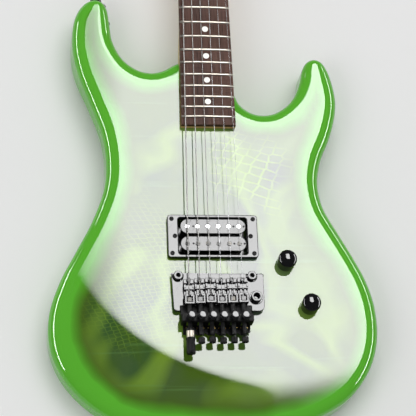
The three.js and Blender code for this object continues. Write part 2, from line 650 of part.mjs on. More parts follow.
// A sleeve that slides along the tail of the first string's lock screw to drop that string by a tone.
function makeDropTuner() {
  const y1 = RISER_FRONT - RISER_DEPTH - SET_BACK[0] - 3.5;
  const bore = LOCK_TAIL - 4 - 3.5 + 1;
  const profile = [[LOCK_SCREW_RADIUS + RUN, 0], [DROP_RADIUS, 0], [DROP_RADIUS, 8], [DROP_RADIUS - 0.6, 8.6],
    [DROP_RADIUS - 0.6, 10.4], [DROP_RADIUS, 11], [DROP_RADIUS, DROP_LENGTH - 1],
    [DROP_RADIUS - 1, DROP_LENGTH], [0, DROP_LENGTH], [0, bore], [LOCK_SCREW_RADIUS + RUN, bore]];
  const sleeve = turned([...profile, profile[0]].map(([r, z]) => [r, z]), 16).rotateX(Math.PI / 2);
  add("drop_tuner", sleeve.translate(bridgeX(0), y1, LOCK_Z), MATERIAL.blackMetal);
}

function makeFineTuner(i) {
  const tip = LOCK_Z + LOCK_SCREW_RADIUS + 0.4;
  const profile = [[0, tip], [TUNER_SCREW_RADIUS, tip], [TUNER_SCREW_RADIUS, RISER_TOP + 1], [TUNER_HEAD_RADIUS - 0.4, RISER_TOP + 1],
    [TUNER_HEAD_RADIUS, RISER_TOP + 1.5], [TUNER_HEAD_RADIUS, RISER_TOP + 5], [TUNER_HEAD_RADIUS - 1.3, RISER_TOP + 6.6], [0, RISER_TOP + 7]];
  add(`fine_tuner_${i + 1}`, turned(profile, 16).translate(bridgeX(i), RISER_MIDDLE, 0), MATERIAL.blackMetal);
}

function makeStuds() {
  const grip = PLATE_BOTTOM - 0.8;
  const profile = [[0, CAVITY_ROOF + 2.5], [INSERT_RADIUS, CAVITY_ROOF + 2.5], [INSERT_RADIUS, BODY_TOP + 0.8],
    [STUD_SHAFT, BODY_TOP + 1.2], [STUD_SHAFT, PLATE_TOP + 0.8], [STUD_HEAD, PLATE_TOP + 1.4],
    [STUD_HEAD, grip + 7.4], [2.2, grip + 8.4], [2.2, grip + 6], [0, grip + 6]];
  ["bass", "treble"].forEach((name, k) => {
    const x = (k ? 1 : -1) * (STUD_SPACING / 2);
    add(`pivot_stud_${name}`, turned(profile, 16).translate(x, PIVOT_Y, 0), MATERIAL.blackMetal);
  });
}

function makeSpringsAndClaw() {
  SPRING_X.forEach((x, k) => {
    const coil = rodY(x, BLOCK_FRONT + GAP, CLAW_Y - GAP, SPRING_Z, SPRING_RADIUS, 14);
    add(`tremolo_spring_${k + 1}`, coil, MATERIAL.steel);
  });
  const bar = box(-27, 27, CLAW_Y, CLAW_Y + 3, SPRING_Z - 5, SPRING_Z + 5);
  const screws = [-1, 1].map((side) =>
    rodY(side * SPRING_SCREW_X, CLAW_Y - 3, SPRING_CAVITY.y1 + 22, SPRING_Z, 2, 10),
  );
  add("spring_claw", join(bar, ...screws), MATERIAL.steel);
}

// ---- Strings ------------------------------------------------------------------------------------------------
function makeString(i) {
  const radius = STRING_RADII[i];
  const back = -SET_BACK[i];
  const [postX, postY] = postAt(i);
  const noseY = back - 4.4;
  const nutBack = NUT_Y + NUT_DEPTH;
  const level = (y) => STRING_Z_BRIDGE + ((STRING_Z_NUT - STRING_Z_BRIDGE) * y) / SCALE;
  const open = [noseY + 2, 100, 220, 340, 460, 560, NUT_Y].map((y) => [stringX(i, y), y, level(y)]);
  const nutX = stringX(i, NUT_Y);
  const wrap = 2.3 + radius + GAP;
  const route = [
    [bridgeX(i), noseY - 2.4, STRING_Z_BRIDGE - 1.9],
    [bridgeX(i), noseY - 0.7, STRING_Z_BRIDGE],
    ...open,
    [nutX, nutBack + 1, STRING_Z_NUT],
    [nutX, nutBack + 11, STRING_Z_NUT - 3.4],
    [postX + wrap, postY, HEAD_FACE + POST_RISE - 10],
  ];
  add(`string_${i + 1}`, wire(route, radius), MATERIAL.steel);
}

// ---- Pickup, controls, jack ---------------------------------------------------------------------------------
function makePickup() {
  const { width, height, thick } = RING;
  const innerX = BOBBIN.width / 2 + WINDOW_CLEARANCE;
  const innerY = (BOBBIN.spacing + BOBBIN.height) / 2 + WINDOW_CLEARANCE + 0.75;
  const ring = roundedRectangle(-width / 2, width / 2, PICKUP_Y - height / 2, PICKUP_Y + height / 2, 3.2);
  ring.holes.push(roundedRectangle(-innerX, innerX, PICKUP_Y - innerY, PICKUP_Y + innerY, 2));
  add("pickup_ring", slab(ring, BODY_TOP, BODY_TOP + thick), MATERIAL.blackPlastic);

  const floor = BODY_TOP - 16;
  const base = box(-BOBBIN.width / 2 - 1, BOBBIN.width / 2 + 1, PICKUP_Y - 18.5, PICKUP_Y + 18.5, floor, floor + 3);
  const bobbins = [-1, 1].flatMap((side) => {
    const y = PICKUP_Y + (side * BOBBIN.spacing) / 2;
    const r = BOBBIN.height / 2;
    const top = BODY_TOP + BOBBIN_RISE;
    const poles = Array.from({ length: STRINGS }, (_, i) =>
      rodZ(stringX(i, y), y, top - 1, top + 0.6, 2.4, 10),
    );
    return [slab(roundedRectangle(-BOBBIN.width / 2, BOBBIN.width / 2, y - r, y + r, r - 0.1), floor + 2, top), ...poles];
  });
  add("pickup", join(base, ...bobbins), MATERIAL.blackPlastic);
}

function makeControl(name, [x, y]) {
  const roof = BODY_TOP - CONTROL_TOP_WALL;
  const shaftTop = BODY_TOP + 11;
  const pot = turned(
    [[0, roof - 10], [POT_RADIUS, roof - 10], [POT_RADIUS, roof - 0.5], [BUSHING_RADIUS, roof - 0.5],
      [BUSHING_RADIUS, BODY_TOP + 2.5], [SHAFT_RADIUS, BODY_TOP + 2.5], [SHAFT_RADIUS, shaftTop], [0, shaftTop]],
    20,
  );
  add(`${name}_pot`, pot.translate(x, y, 0), MATERIAL.steel);

  const base = BODY_TOP + 0.6;
  const dome = Array.from({ length: 5 }, (_, k) => {
    const a = (Math.PI / 2) * (k / 5);
    return [KNOB_RADIUS * Math.cos(a), base + KNOB_HEIGHT - KNOB_DOME * (1 - Math.sin(a))];
  });
  const knob = turned(
    [[SHAFT_RADIUS + RUN, shaftTop + 0.5], [SHAFT_RADIUS + RUN, BODY_TOP + 4], [7.2, BODY_TOP + 4], [7.2, base],
      [KNOB_RADIUS, base], ...dome, [0, base + KNOB_HEIGHT], [0, shaftTop + 0.5], [SHAFT_RADIUS + RUN, shaftTop + 0.5]],
    24,
  );
  add(`${name}_knob`, knob.translate(x, y, 0), MATERIAL.blackPlastic);
}

const JACK_Z = BODY_BACK + BODY_THICK / 2;
const JACK_FLANGE = 10;
const JACK_SEAT = 162.5;

// A barrel jack in the treble rim: a flange with a through bore, open at its outer end.
function makeJack() {
  const profile = [[JACK_BORE, -27], [JACK_RADIUS, -27], [JACK_RADIUS, GAP], [JACK_FLANGE, GAP], [JACK_FLANGE, 1.6],
    [8.6, 2.6], [JACK_BORE + 1, 2.6], [JACK_BORE, 2], [JACK_BORE, -27]];
  const jack = turned(profile, 20).rotateY(Math.PI / 2);
  add("output_jack", jack.translate(JACK_SEAT, JACK_Y, JACK_Z), MATERIAL.blackMetal);
}

// ---- Rear covers and neck plate -----------------------------------------------------------------------------
function makeRearPlates() {
  const { half, y0, y1 } = SPRING_CAVITY;
  add("spring_cover", slab(roundedRectangle(-half - 8, half + 8, y0 - 7, y1 + 7, 5), 0, COVER), MATERIAL.rearPlastic);

  const middle = CONTROL_CAVITY.reduce((s, [x, y]) => [s[0] + x / CONTROL_CAVITY.length, s[1] + y / CONTROL_CAVITY.length], [0, 0]);
  const cover = CONTROL_CAVITY.map(([x, y]) => {
    const away = Math.hypot(x - middle[0], y - middle[1]);
    return [x + ((x - middle[0]) / away) * 6, y + ((y - middle[1]) / away) * 6];
  });
  add("control_cover", slab(cover, 0, COVER), MATERIAL.rearPlastic);
  add("neck_plate", slab(roundedRectangle(-21, 21, BOARD_END + 3, BOARD_END + 56, 4), 0, COVER), MATERIAL.blackMetal);
}

makeBody();
makeStrapButtons();
makeNeck();
makeFretboard();
makeNut();
makeTremoloPlate();
makeSustainBlock();
makeDropTuner();
makeStuds();
makeSpringsAndClaw();
for (let i = 0; i < STRINGS; i++) {
  makeTuner(i);
  makeSaddle(i);
  makeFineTuner(i);
  makeString(i);
}
makePickup();
makeControl("volume", VOLUME_AT);
makeControl("tone", TONE_AT);
makeJack();
makeRearPlates();

export default part;
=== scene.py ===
"""Looks of a green double-cutaway electric guitar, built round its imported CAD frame.

Lengths inside the classes are millimetres in the CAD frame: +Z out of the face, +Y up the neck, +X to the
treble side. They become metres when a surface is put into a mesh.
"""

import logging
import math
from dataclasses import dataclass
from enum import Enum
from functools import cache

import bpy
import numpy as np
from mathutils import Matrix, Vector
from mathutils.geometry import delaunay_2d_cdt, tessellate_polygon


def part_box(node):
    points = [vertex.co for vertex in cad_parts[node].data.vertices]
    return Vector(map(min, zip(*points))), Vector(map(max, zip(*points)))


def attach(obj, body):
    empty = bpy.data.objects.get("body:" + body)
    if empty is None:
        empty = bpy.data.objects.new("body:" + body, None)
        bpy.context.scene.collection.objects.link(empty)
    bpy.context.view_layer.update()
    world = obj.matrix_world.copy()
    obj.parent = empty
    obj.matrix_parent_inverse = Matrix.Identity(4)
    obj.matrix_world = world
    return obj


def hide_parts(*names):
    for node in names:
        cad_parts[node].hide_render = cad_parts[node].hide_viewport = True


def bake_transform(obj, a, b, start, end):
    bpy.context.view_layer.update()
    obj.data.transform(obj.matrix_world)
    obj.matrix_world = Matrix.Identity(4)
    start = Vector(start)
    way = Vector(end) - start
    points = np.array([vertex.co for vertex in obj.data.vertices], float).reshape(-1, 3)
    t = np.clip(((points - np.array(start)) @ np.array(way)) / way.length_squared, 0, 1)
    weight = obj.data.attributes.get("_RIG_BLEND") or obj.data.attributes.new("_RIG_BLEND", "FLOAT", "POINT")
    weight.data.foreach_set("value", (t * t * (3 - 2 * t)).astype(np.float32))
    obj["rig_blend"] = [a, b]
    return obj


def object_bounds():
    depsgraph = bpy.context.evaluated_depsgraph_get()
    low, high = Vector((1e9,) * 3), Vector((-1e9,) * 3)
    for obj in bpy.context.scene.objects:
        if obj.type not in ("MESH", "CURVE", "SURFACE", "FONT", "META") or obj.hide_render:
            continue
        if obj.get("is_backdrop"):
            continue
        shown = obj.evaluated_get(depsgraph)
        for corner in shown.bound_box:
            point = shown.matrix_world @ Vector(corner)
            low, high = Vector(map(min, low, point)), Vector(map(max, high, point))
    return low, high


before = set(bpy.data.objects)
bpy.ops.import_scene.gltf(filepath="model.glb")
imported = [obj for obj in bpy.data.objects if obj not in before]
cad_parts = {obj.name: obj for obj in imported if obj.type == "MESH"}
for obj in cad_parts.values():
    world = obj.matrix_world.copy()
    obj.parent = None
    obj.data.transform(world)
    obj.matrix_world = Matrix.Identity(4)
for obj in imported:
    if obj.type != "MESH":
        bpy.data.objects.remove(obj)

LOG = logging.getLogger("guitar")
Colour = tuple[float, float, float]
Place = tuple[float, float, float]
Pair = tuple[float, float]
Socket = bpy.types.NodeSocket
Node = bpy.types.Node
Tree = bpy.types.NodeTree
STRINGS = 6

SPRING_Z = 10.5
CLAW_SCREWS = (-20, 20)
HORN_BUTTON, HORN_HEADING = (-106.3, 317.2), 0.42
TAIL_BUTTON, TAIL_HEADING = (-1.0, -149.0), math.pi
STRAP_Z = 24
JACK_FACE = 162.5
CONTROL_CAVITY = ((56, 46), (86, 50), (106, 22), (140, -16), (140, -50), (84, -50), (56, -20))


# ---- Surfaces
@dataclass
class Skin:
    """A surface in millimetres.

    points is (n, 3); faces is a list of index arrays, each (k, corners).
    """

    points: np.ndarray
    faces: list[np.ndarray]

    def moved(self, x: float = 0.0, y: float = 0.0, z: float = 0.0) -> "Skin":
        """Returns the surface shifted."""
        return Skin(self.points + [x, y, z], self.faces)

    def turned(self, axis: str, degrees: float) -> "Skin":
        """Returns the surface turned about a row axis through the origin, by the right-hand rule."""
        turn = np.array(Matrix.Rotation(math.radians(degrees), 3, axis))
        return Skin(self.points @ turn.T, self.faces)

    def shuffled(self) -> "Skin":
        """Returns the surface with its own X, Y, Z laid along Y, Z, X, so a slab stands on its edge."""
        return Skin(self.points[:, [2, 0, 1]], self.faces)


def joined(*skins: Skin) -> Skin:
    """Returns several surfaces as one."""
    starts = np.cumsum([0] + [len(s.points) for s in skins[:-1]])
    faces = [f + start for s, start in zip(skins, starts) for f in s.faces]
    return Skin(np.concatenate([s.points for s in skins]), faces)


def quads_between(
    rows: int, columns: int, round_columns: bool = True, round_rows: bool = False
) -> np.ndarray:
    """Lists the quads of a grid of points numbered row by row.

    Args:
        rows: Rows of points.
        columns: Points in each row.
        round_columns: Whether the last column meets the first.
        round_rows: Whether the last row meets the first.

    Returns:
        Corner numbers, one quad a line.
    """
    r = np.arange(rows if round_rows else rows - 1)[:, None]
    c = np.arange(columns if round_columns else columns - 1)[None, :]
    up, on = (r + 1) % rows, (c + 1) % columns
    corners = [r * columns + c, r * columns + on, up * columns + on, up * columns + c]
    return np.stack([np.broadcast_to(k, (r.size, c.size)) for k in corners], -1).reshape(-1, 4)


def circle(x: float, y: float, radius: float, count: int = 32, start: float = 0.0) -> np.ndarray:
    """Returns points evenly round a circle, anticlockwise."""
    a = start + np.linspace(0, 2 * np.pi, count, endpoint=False)
    return np.stack([x + radius * np.cos(a), y + radius * np.sin(a)], 1)


def rectangle(x0: float, x1: float, y0: float, y1: float) -> np.ndarray:
    """Returns a rectangle's corners, anticlockwise."""
    return np.array([[x0, y0], [x1, y0], [x1, y1], [x0, y1]], dtype=float)


def softened(
    corners: np.ndarray, radius: float | np.ndarray, steps: int = 6, closed: bool = True
) -> np.ndarray:
    """Rounds an outline's corners with circular arcs.

    Each corner becomes a rational quadratic curve from one tangent point to the other, whose middle weight is
    the sine of half the corner's angle, which makes it an exact arc.

    Args:
        corners: The outline's corners, (n, 2).
        radius: One radius, or one for each corner.
        steps: Spans in each arc.
        closed: Whether the last corner meets the first; an open outline keeps its ends.

    Returns:
        The rounded outline, without repeated points.
    """
    p = np.asarray(corners, dtype=float)
    r = np.broadcast_to(np.asarray(radius, dtype=float), len(p)).copy()
    if not closed:
        r[[0, -1]] = 0
    back, ahead = np.roll(p, 1, 0) - p, np.roll(p, -1, 0) - p
    back_len, ahead_len = np.linalg.norm(back, axis=1), np.linalg.norm(ahead, axis=1)
    back, ahead = back / back_len[:, None], ahead / ahead_len[:, None]
    half = 0.5 * np.arccos(np.clip((back * ahead).sum(1), -1, 1))
    reach = np.minimum(r / np.maximum(np.tan(half), 1e-6), 0.499 * np.minimum(back_len, ahead_len))
    a, b = p + back * reach[:, None], p + ahead * reach[:, None]
    s = np.linspace(0, 1, steps + 1)[None, :, None]
    w = np.sin(half)[:, None, None] * 2 * s * (1 - s)
    arc = (1 - s) ** 2 * a[:, None] + w * p[:, None] + s**2 * b[:, None]
    arc = (arc / ((1 - s) ** 2 + w + s**2)).reshape(-1, 2)
    keep = np.linalg.norm(arc - np.roll(arc, 1, 0), axis=1) > 1e-5
    if not closed:
        keep[0] = True
    return arc[keep]


def panel(x0: float, x1: float, y0: float, y1: float, radius: float, steps: int = 6) -> np.ndarray:
    """Returns a rectangle with rounded corners."""
    return softened(rectangle(x0, x1, y0, y1), radius, steps)


def drawn_in(loop: np.ndarray, distance: float) -> np.ndarray:
    """Moves a closed outline to its left by a distance, along the mitre of its two sides at each point."""
    on = np.roll(loop, -1, 0) - loop
    on /= np.maximum(np.linalg.norm(on, axis=1), 1e-9)[:, None]
    left = np.stack([-on[:, 1], on[:, 0]], 1)
    before = np.roll(left, 1, 0)
    mitre = (left + before) / np.maximum(1 + (left * before).sum(1), 0.25)[:, None]
    return loop + mitre * distance


def area_of(loop: np.ndarray) -> float:
    """Returns a closed outline's signed area, which is positive when it runs anticlockwise."""
    x, y = loop.T
    return 0.5 * float(np.sum(x * np.roll(y, -1) - np.roll(x, -1) * y))


def facing(tris: np.ndarray, points: np.ndarray, upward: bool) -> np.ndarray:
    """Returns triangles turned to face up or down, without those that have no area seen from above."""
    a, b, c = (points[tris[:, k], :2] for k in range(3))
    turn = (b[:, 0] - a[:, 0]) * (c[:, 1] - a[:, 1]) - (b[:, 1] - a[:, 1]) * (c[:, 0] - a[:, 0])
    wrong = (turn > 0) != upward
    tris[wrong] = tris[wrong][:, ::-1]
    return tris[np.abs(turn) > 1e-12]


def slab(
    outline: np.ndarray, low: float, high: float, edge: float = 0.4, holes: tuple[np.ndarray, ...] = (),
    steps: int = 3, base_edge: float | None = None
) -> Skin:
    """Raises a flat outline with holes into a plate with rounded edges.

    At angle a, an edge of radius e is drawn in by e (1 - cos a) and lies e (1 - sin a) from the face.

    Args:
        outline: The rim, (n, 2).
        low: Lower face.
        high: Upper face.
        edge: Radius of the upper edges.
        holes: Outlines of the holes right through.
        steps: Spans in each rounded edge.
        base_edge: Radius of the lower edges, if they differ.

    Returns:
        The closed plate.
    """
    base_edge = edge if base_edge is None else base_edge
    loops = [outline if area_of(outline) > 0 else outline[::-1]]
    loops += [h[::-1] if area_of(h) > 0 else h for h in holes]
    angles = np.linspace(0, np.pi / 2, steps + 1)
    under = [(base_edge * (1 - math.cos(a)), low + base_edge * (1 - math.sin(a))) for a in angles[::-1]]
    over = [(edge * (1 - math.cos(a)), high - edge * (1 - math.sin(a))) for a in angles]
    rows = (under if base_edge > 0 else [(0.0, low)]) + (over if edge > 0 else [(0.0, high)])
    points, faces, first, last, at = [], [], [], [], 0
    for loop in loops:
        rings = [np.column_stack([drawn_in(loop, d), np.full(len(loop), z)]) for d, z in rows]
        points += rings
        faces.append(quads_between(len(rows), len(loop)) + at)
        first.append(at + np.arange(len(loop)))
        last.append(at + (len(rows) - 1) * len(loop) + np.arange(len(loop)))
        at += len(rows) * len(loop)
    everything = np.concatenate(points)
    for numbers, up in ((first, False), (last, True)):
        flat = [[Vector((*everything[i][:2], 0.0)) for i in ring] for ring in numbers]
        tris = np.array(tessellate_polygon(flat), dtype=int)
        tris = np.concatenate(numbers)[tris]
        faces.append(facing(tris, everything, up))
    return Skin(everything, faces)


def turned_shape(
    profile: np.ndarray | list[Pair], sides: int = 32, flutes: int = 0, depth: float | np.ndarray = 0.0
) -> Skin:
    """Carries a profile of (radius, height) points round Z.

    Where it starts or ends on the axis the ring is one pole; where neither end does, the profile is a closed
    loop. With flutes, the radius is lessened by depth times half of one minus the cosine of flutes times the
    angle.

    Args:
        profile: Points from the bottom to the top of the outside.
        sides: Points round.
        flutes: Grooves round.
        depth: Groove depth, one for all or one for each profile point.

    Returns:
        The closed solid of revolution.
    """
    p = np.asarray(profile, dtype=float)
    angle = np.linspace(0, 2 * np.pi, sides, endpoint=False)
    groove = np.broadcast_to(depth, len(p))[:, None] * 0.5 * (1 - np.cos(flutes * angle))[None, :]
    radius = np.maximum(p[:, :1] - groove, 0)
    height = np.broadcast_to(p[:, 1:], radius.shape)
    grid = np.stack([radius * np.cos(angle), radius * np.sin(angle), height], -1)
    starts_on, ends_on = p[0, 0] < 1e-9, p[-1, 0] < 1e-9
    if not (starts_on or ends_on):
        return Skin(grid.reshape(-1, 3), [quads_between(len(p), sides, True, True)])
    body = grid[1 if starts_on else 0 : len(p) - 1 if ends_on else len(p)]
    points, faces = [body.reshape(-1, 3)], [quads_between(len(body), sides)]
    around = np.arange(sides)
    ahead = (around + 1) % sides
    count = len(body) * sides
    if starts_on:
        points.append(grid[0, :1])
        faces.append(np.stack([np.full(sides, count), ahead, around], 1))
        count += 1
    if ends_on:
        top = (len(body) - 1) * sides
        points.append(grid[-1, :1])
        faces.append(np.stack([np.full(sides, count), top + around, top + ahead], 1))
    return Skin(np.concatenate(points), faces)


def cylinder(radius: float, low: float, high: float, sides: int) -> Skin:
    """Returns an upright cylinder."""
    return turned_shape([(0, low), (radius, low), (radius, high), (0, high)], sides)


def bar(path: np.ndarray, radius: float | np.ndarray, sides: int = 10, up: Place = (0, 0, 1)) -> Skin:
    """Carries a circle along a path, square to it, with flat ends.

    The circle's first axis is the path's direction crossed with an upward direction, and its second is that
    crossed with the direction.

    Args:
        path: Points, (n, 3).
        radius: One radius, or one for each point.
        sides: Points round the circle.
        up: A direction that the path never follows, or one for each point.

    Returns:
        The closed bar.
    """
    along = np.gradient(path, axis=0)
    along /= np.linalg.norm(along, axis=1)[:, None]
    side = np.cross(along, np.broadcast_to(np.asarray(up, dtype=float), path.shape))
    side /= np.linalg.norm(side, axis=1)[:, None]
    rise = np.cross(side, along)
    a = np.linspace(0, 2 * np.pi, sides, endpoint=False)
    r = np.broadcast_to(radius, len(path))[:, None, None]
    ring = np.cos(a)[None, :, None] * side[:, None] - np.sin(a)[None, :, None] * rise[:, None]
    points = (path[:, None] + r * ring).reshape(-1, 3)
    last = (len(path) - 1) * sides
    caps = [np.arange(sides)[::-1][None], (last + np.arange(sides))[None]]
    return Skin(points, [quads_between(len(path), sides), *caps])


def loft(rings: np.ndarray) -> Skin:
    """Skins equal rings of points, (rows, columns, 3), that run anticlockwise seen from the far end."""
    rows, columns, _ = rings.shape
    last = (rows - 1) * columns
    caps = [np.arange(columns)[::-1][None], (last + np.arange(columns))[None]]
    return Skin(rings.reshape(-1, 3), [quads_between(rows, columns), *caps])


def coil(radius: float, wire: float, length: float, turns: float, sides: int = 8) -> Skin:
    """Winds a wire into a helix along +Y: radius times cosine and sine of the angle, rising evenly."""
    a = np.linspace(0, 2 * np.pi * turns, int(turns * 20) + 1)
    path = np.stack([radius * np.cos(a), length * a / a[-1], radius * np.sin(a)], 1)
    outward = np.stack([np.cos(a), np.zeros_like(a), np.sin(a)], 1)
    return bar(path, wire, sides, outward)


def rounded_block(x: Pair, y: Pair, z: Pair, corner: float = 1.0, edge: float = 0.4) -> Skin:
    """Returns a block between two corners, with rounded uprights and edges."""
    return slab(panel(*x, *y, corner, 4), z[0], z[1], edge)


def smooth_step(value: np.ndarray, width: float) -> np.ndarray:
    """Returns a ramp that is 0 well below 0 and the value well above it, rounded over a width."""
    return 0.5 * (value + np.sqrt(value**2 + width**2))


def nearest(points: np.ndarray, loop: np.ndarray) -> np.ndarray:
    """Returns each point's distance to a closed outline, measured square to its nearest side."""
    a, b = loop, np.roll(loop, -1, 0)
    side = b - a
    best = np.full(len(points), np.inf)
    for part in np.array_split(np.arange(len(points)), max(1, len(points) // 4000)):
        offset = points[part, None] - a[None]
        t = np.clip((offset * side).sum(-1) / (side**2).sum(-1), 0, 1)
        best[part] = np.sqrt(((offset - t[..., None] * side) ** 2).sum(-1).min(1))
    return best


def inside(points: np.ndarray, loop: np.ndarray) -> np.ndarray:
    """Tells which points lie in a closed outline, by counting the sides that a ray to the right crosses."""
    x, y = points[:, :1], points[:, 1:]
    (ax, ay), (bx, by) = loop.T, np.roll(loop, -1, 0).T
    spans = (ay > y) != (by > y)
    rise = np.where(by == ay, 1.0, by - ay)
    return (spans & (x < (bx - ax) * (y - ay) / rise + ax)).sum(1) % 2 == 1


# ---- Finishes
def srgb(red: int, green: int, blue: int) -> Colour:
    """Turns display values from 0 to 255 into linear light."""
    c = np.array([red, green, blue]) / 255
    light = np.where(c <= 0.04045, c / 12.92, ((c + 0.055) / 1.055) ** 2.4)
    return tuple(float(v) for v in light)


def shown(name: str, data: bpy.types.ID) -> bpy.types.Object:
    """Returns a new object that is in the scene."""
    obj = bpy.data.objects.new(name, data)
    bpy.context.scene.collection.objects.link(obj)
    return obj


class Net:
    """A node tree with short ways to add and link nodes."""

    def __init__(self, tree: Tree) -> None:
        """Takes a tree and empties it."""
        self.tree = tree
        tree.nodes.clear()

    def add(self, kind: str, inputs: dict | None = None, **settings: object) -> Node:
        """Adds a node.

        Args:
            kind: The node's class name without its ShaderNode prefix.
            inputs: Input name or number to a value or to another node's output.
            **settings: The node's own properties.

        Returns:
            The node.
        """
        node = self.tree.nodes.new("ShaderNode" + kind)
        for name, value in settings.items():
            setattr(node, name, value)
        for name, value in (inputs or {}).items():
            if isinstance(value, Socket):
                self.tree.links.new(value, node.inputs[name])
            else:
                node.inputs[name].default_value = value
        return node

    def scaled(
        self, value: Socket, low: float, high: float, to_low: float = 0.0, to_high: float = 1.0
    ) -> Socket:
        """Maps a value from one range to another, clamped, and returns it."""
        node = self.add("MapRange", {0: value, 1: low, 2: high, 3: to_low, 4: to_high}, clamp=True)
        return node.outputs[0]

    def mixed(self, share: Socket | float, a: object, b: object, how: str = "MIX") -> Socket:
        """Mixes two colours and returns the result."""
        node = self.add("Mix", data_type="RGBA", blend_type=how)
        for socket, value in ((node.inputs[0], share), (node.inputs[6], a), (node.inputs[7], b)):
            if isinstance(value, Socket):
                self.tree.links.new(value, socket)
            else:
                socket.default_value = (*value, 1.0) if isinstance(value, tuple) else value
        return node.outputs[2]

    def math(self, how: str, a: object, b: object) -> Socket:
        """Adds a math node on two values and returns its output."""
        return self.add("Math", {0: a, 1: b}, operation=how).outputs[0]

    def times(self, a: object, b: object) -> Socket:
        """Returns the product of two values."""
        return self.math("MULTIPLY", a, b)

    def plus(self, a: object, b: object) -> Socket:
        """Returns the sum of two values."""
        return self.math("ADD", a, b)

    def noise(
        self, at: Socket, scale: object, detail: float, twist: float = 0.0, seed: float | None = None
    ) -> Socket:
        """Adds a noise and returns its value; one with a seed has four dimensions."""
        kind = "3D" if seed is None else "4D"
        values = {"Vector": at, "Scale": scale, "Detail": detail, "Distortion": twist}
        if seed is not None:
            values["W"] = seed
        return self.add("TexNoise", values, noise_dimensions=kind).outputs[0]

    def stretched(self, at: Socket, by: Place) -> Socket:
        """Returns a place multiplied along each axis."""
        return self.add("VectorMath", {0: at, 1: by}, operation="MULTIPLY").outputs[0]

    def feed(
        self, shader: Node, colour: Socket, rough: Socket | None = None, height: Socket | None = None,
        strength: float = 0.0, distance: float = 0.0
    ) -> None:
        """Links a colour to a shader and, where they are given, a roughness and a bump."""
        links = self.tree.links
        links.new(colour, shader.inputs["Base Color"])
        if rough is not None:
            links.new(rough, shader.inputs["Roughness"])
        if height is not None:
            bump = self.add("Bump", {"Height": height, "Strength": strength, "Distance": distance})
            links.new(bump.outputs[0], shader.inputs["Normal"])


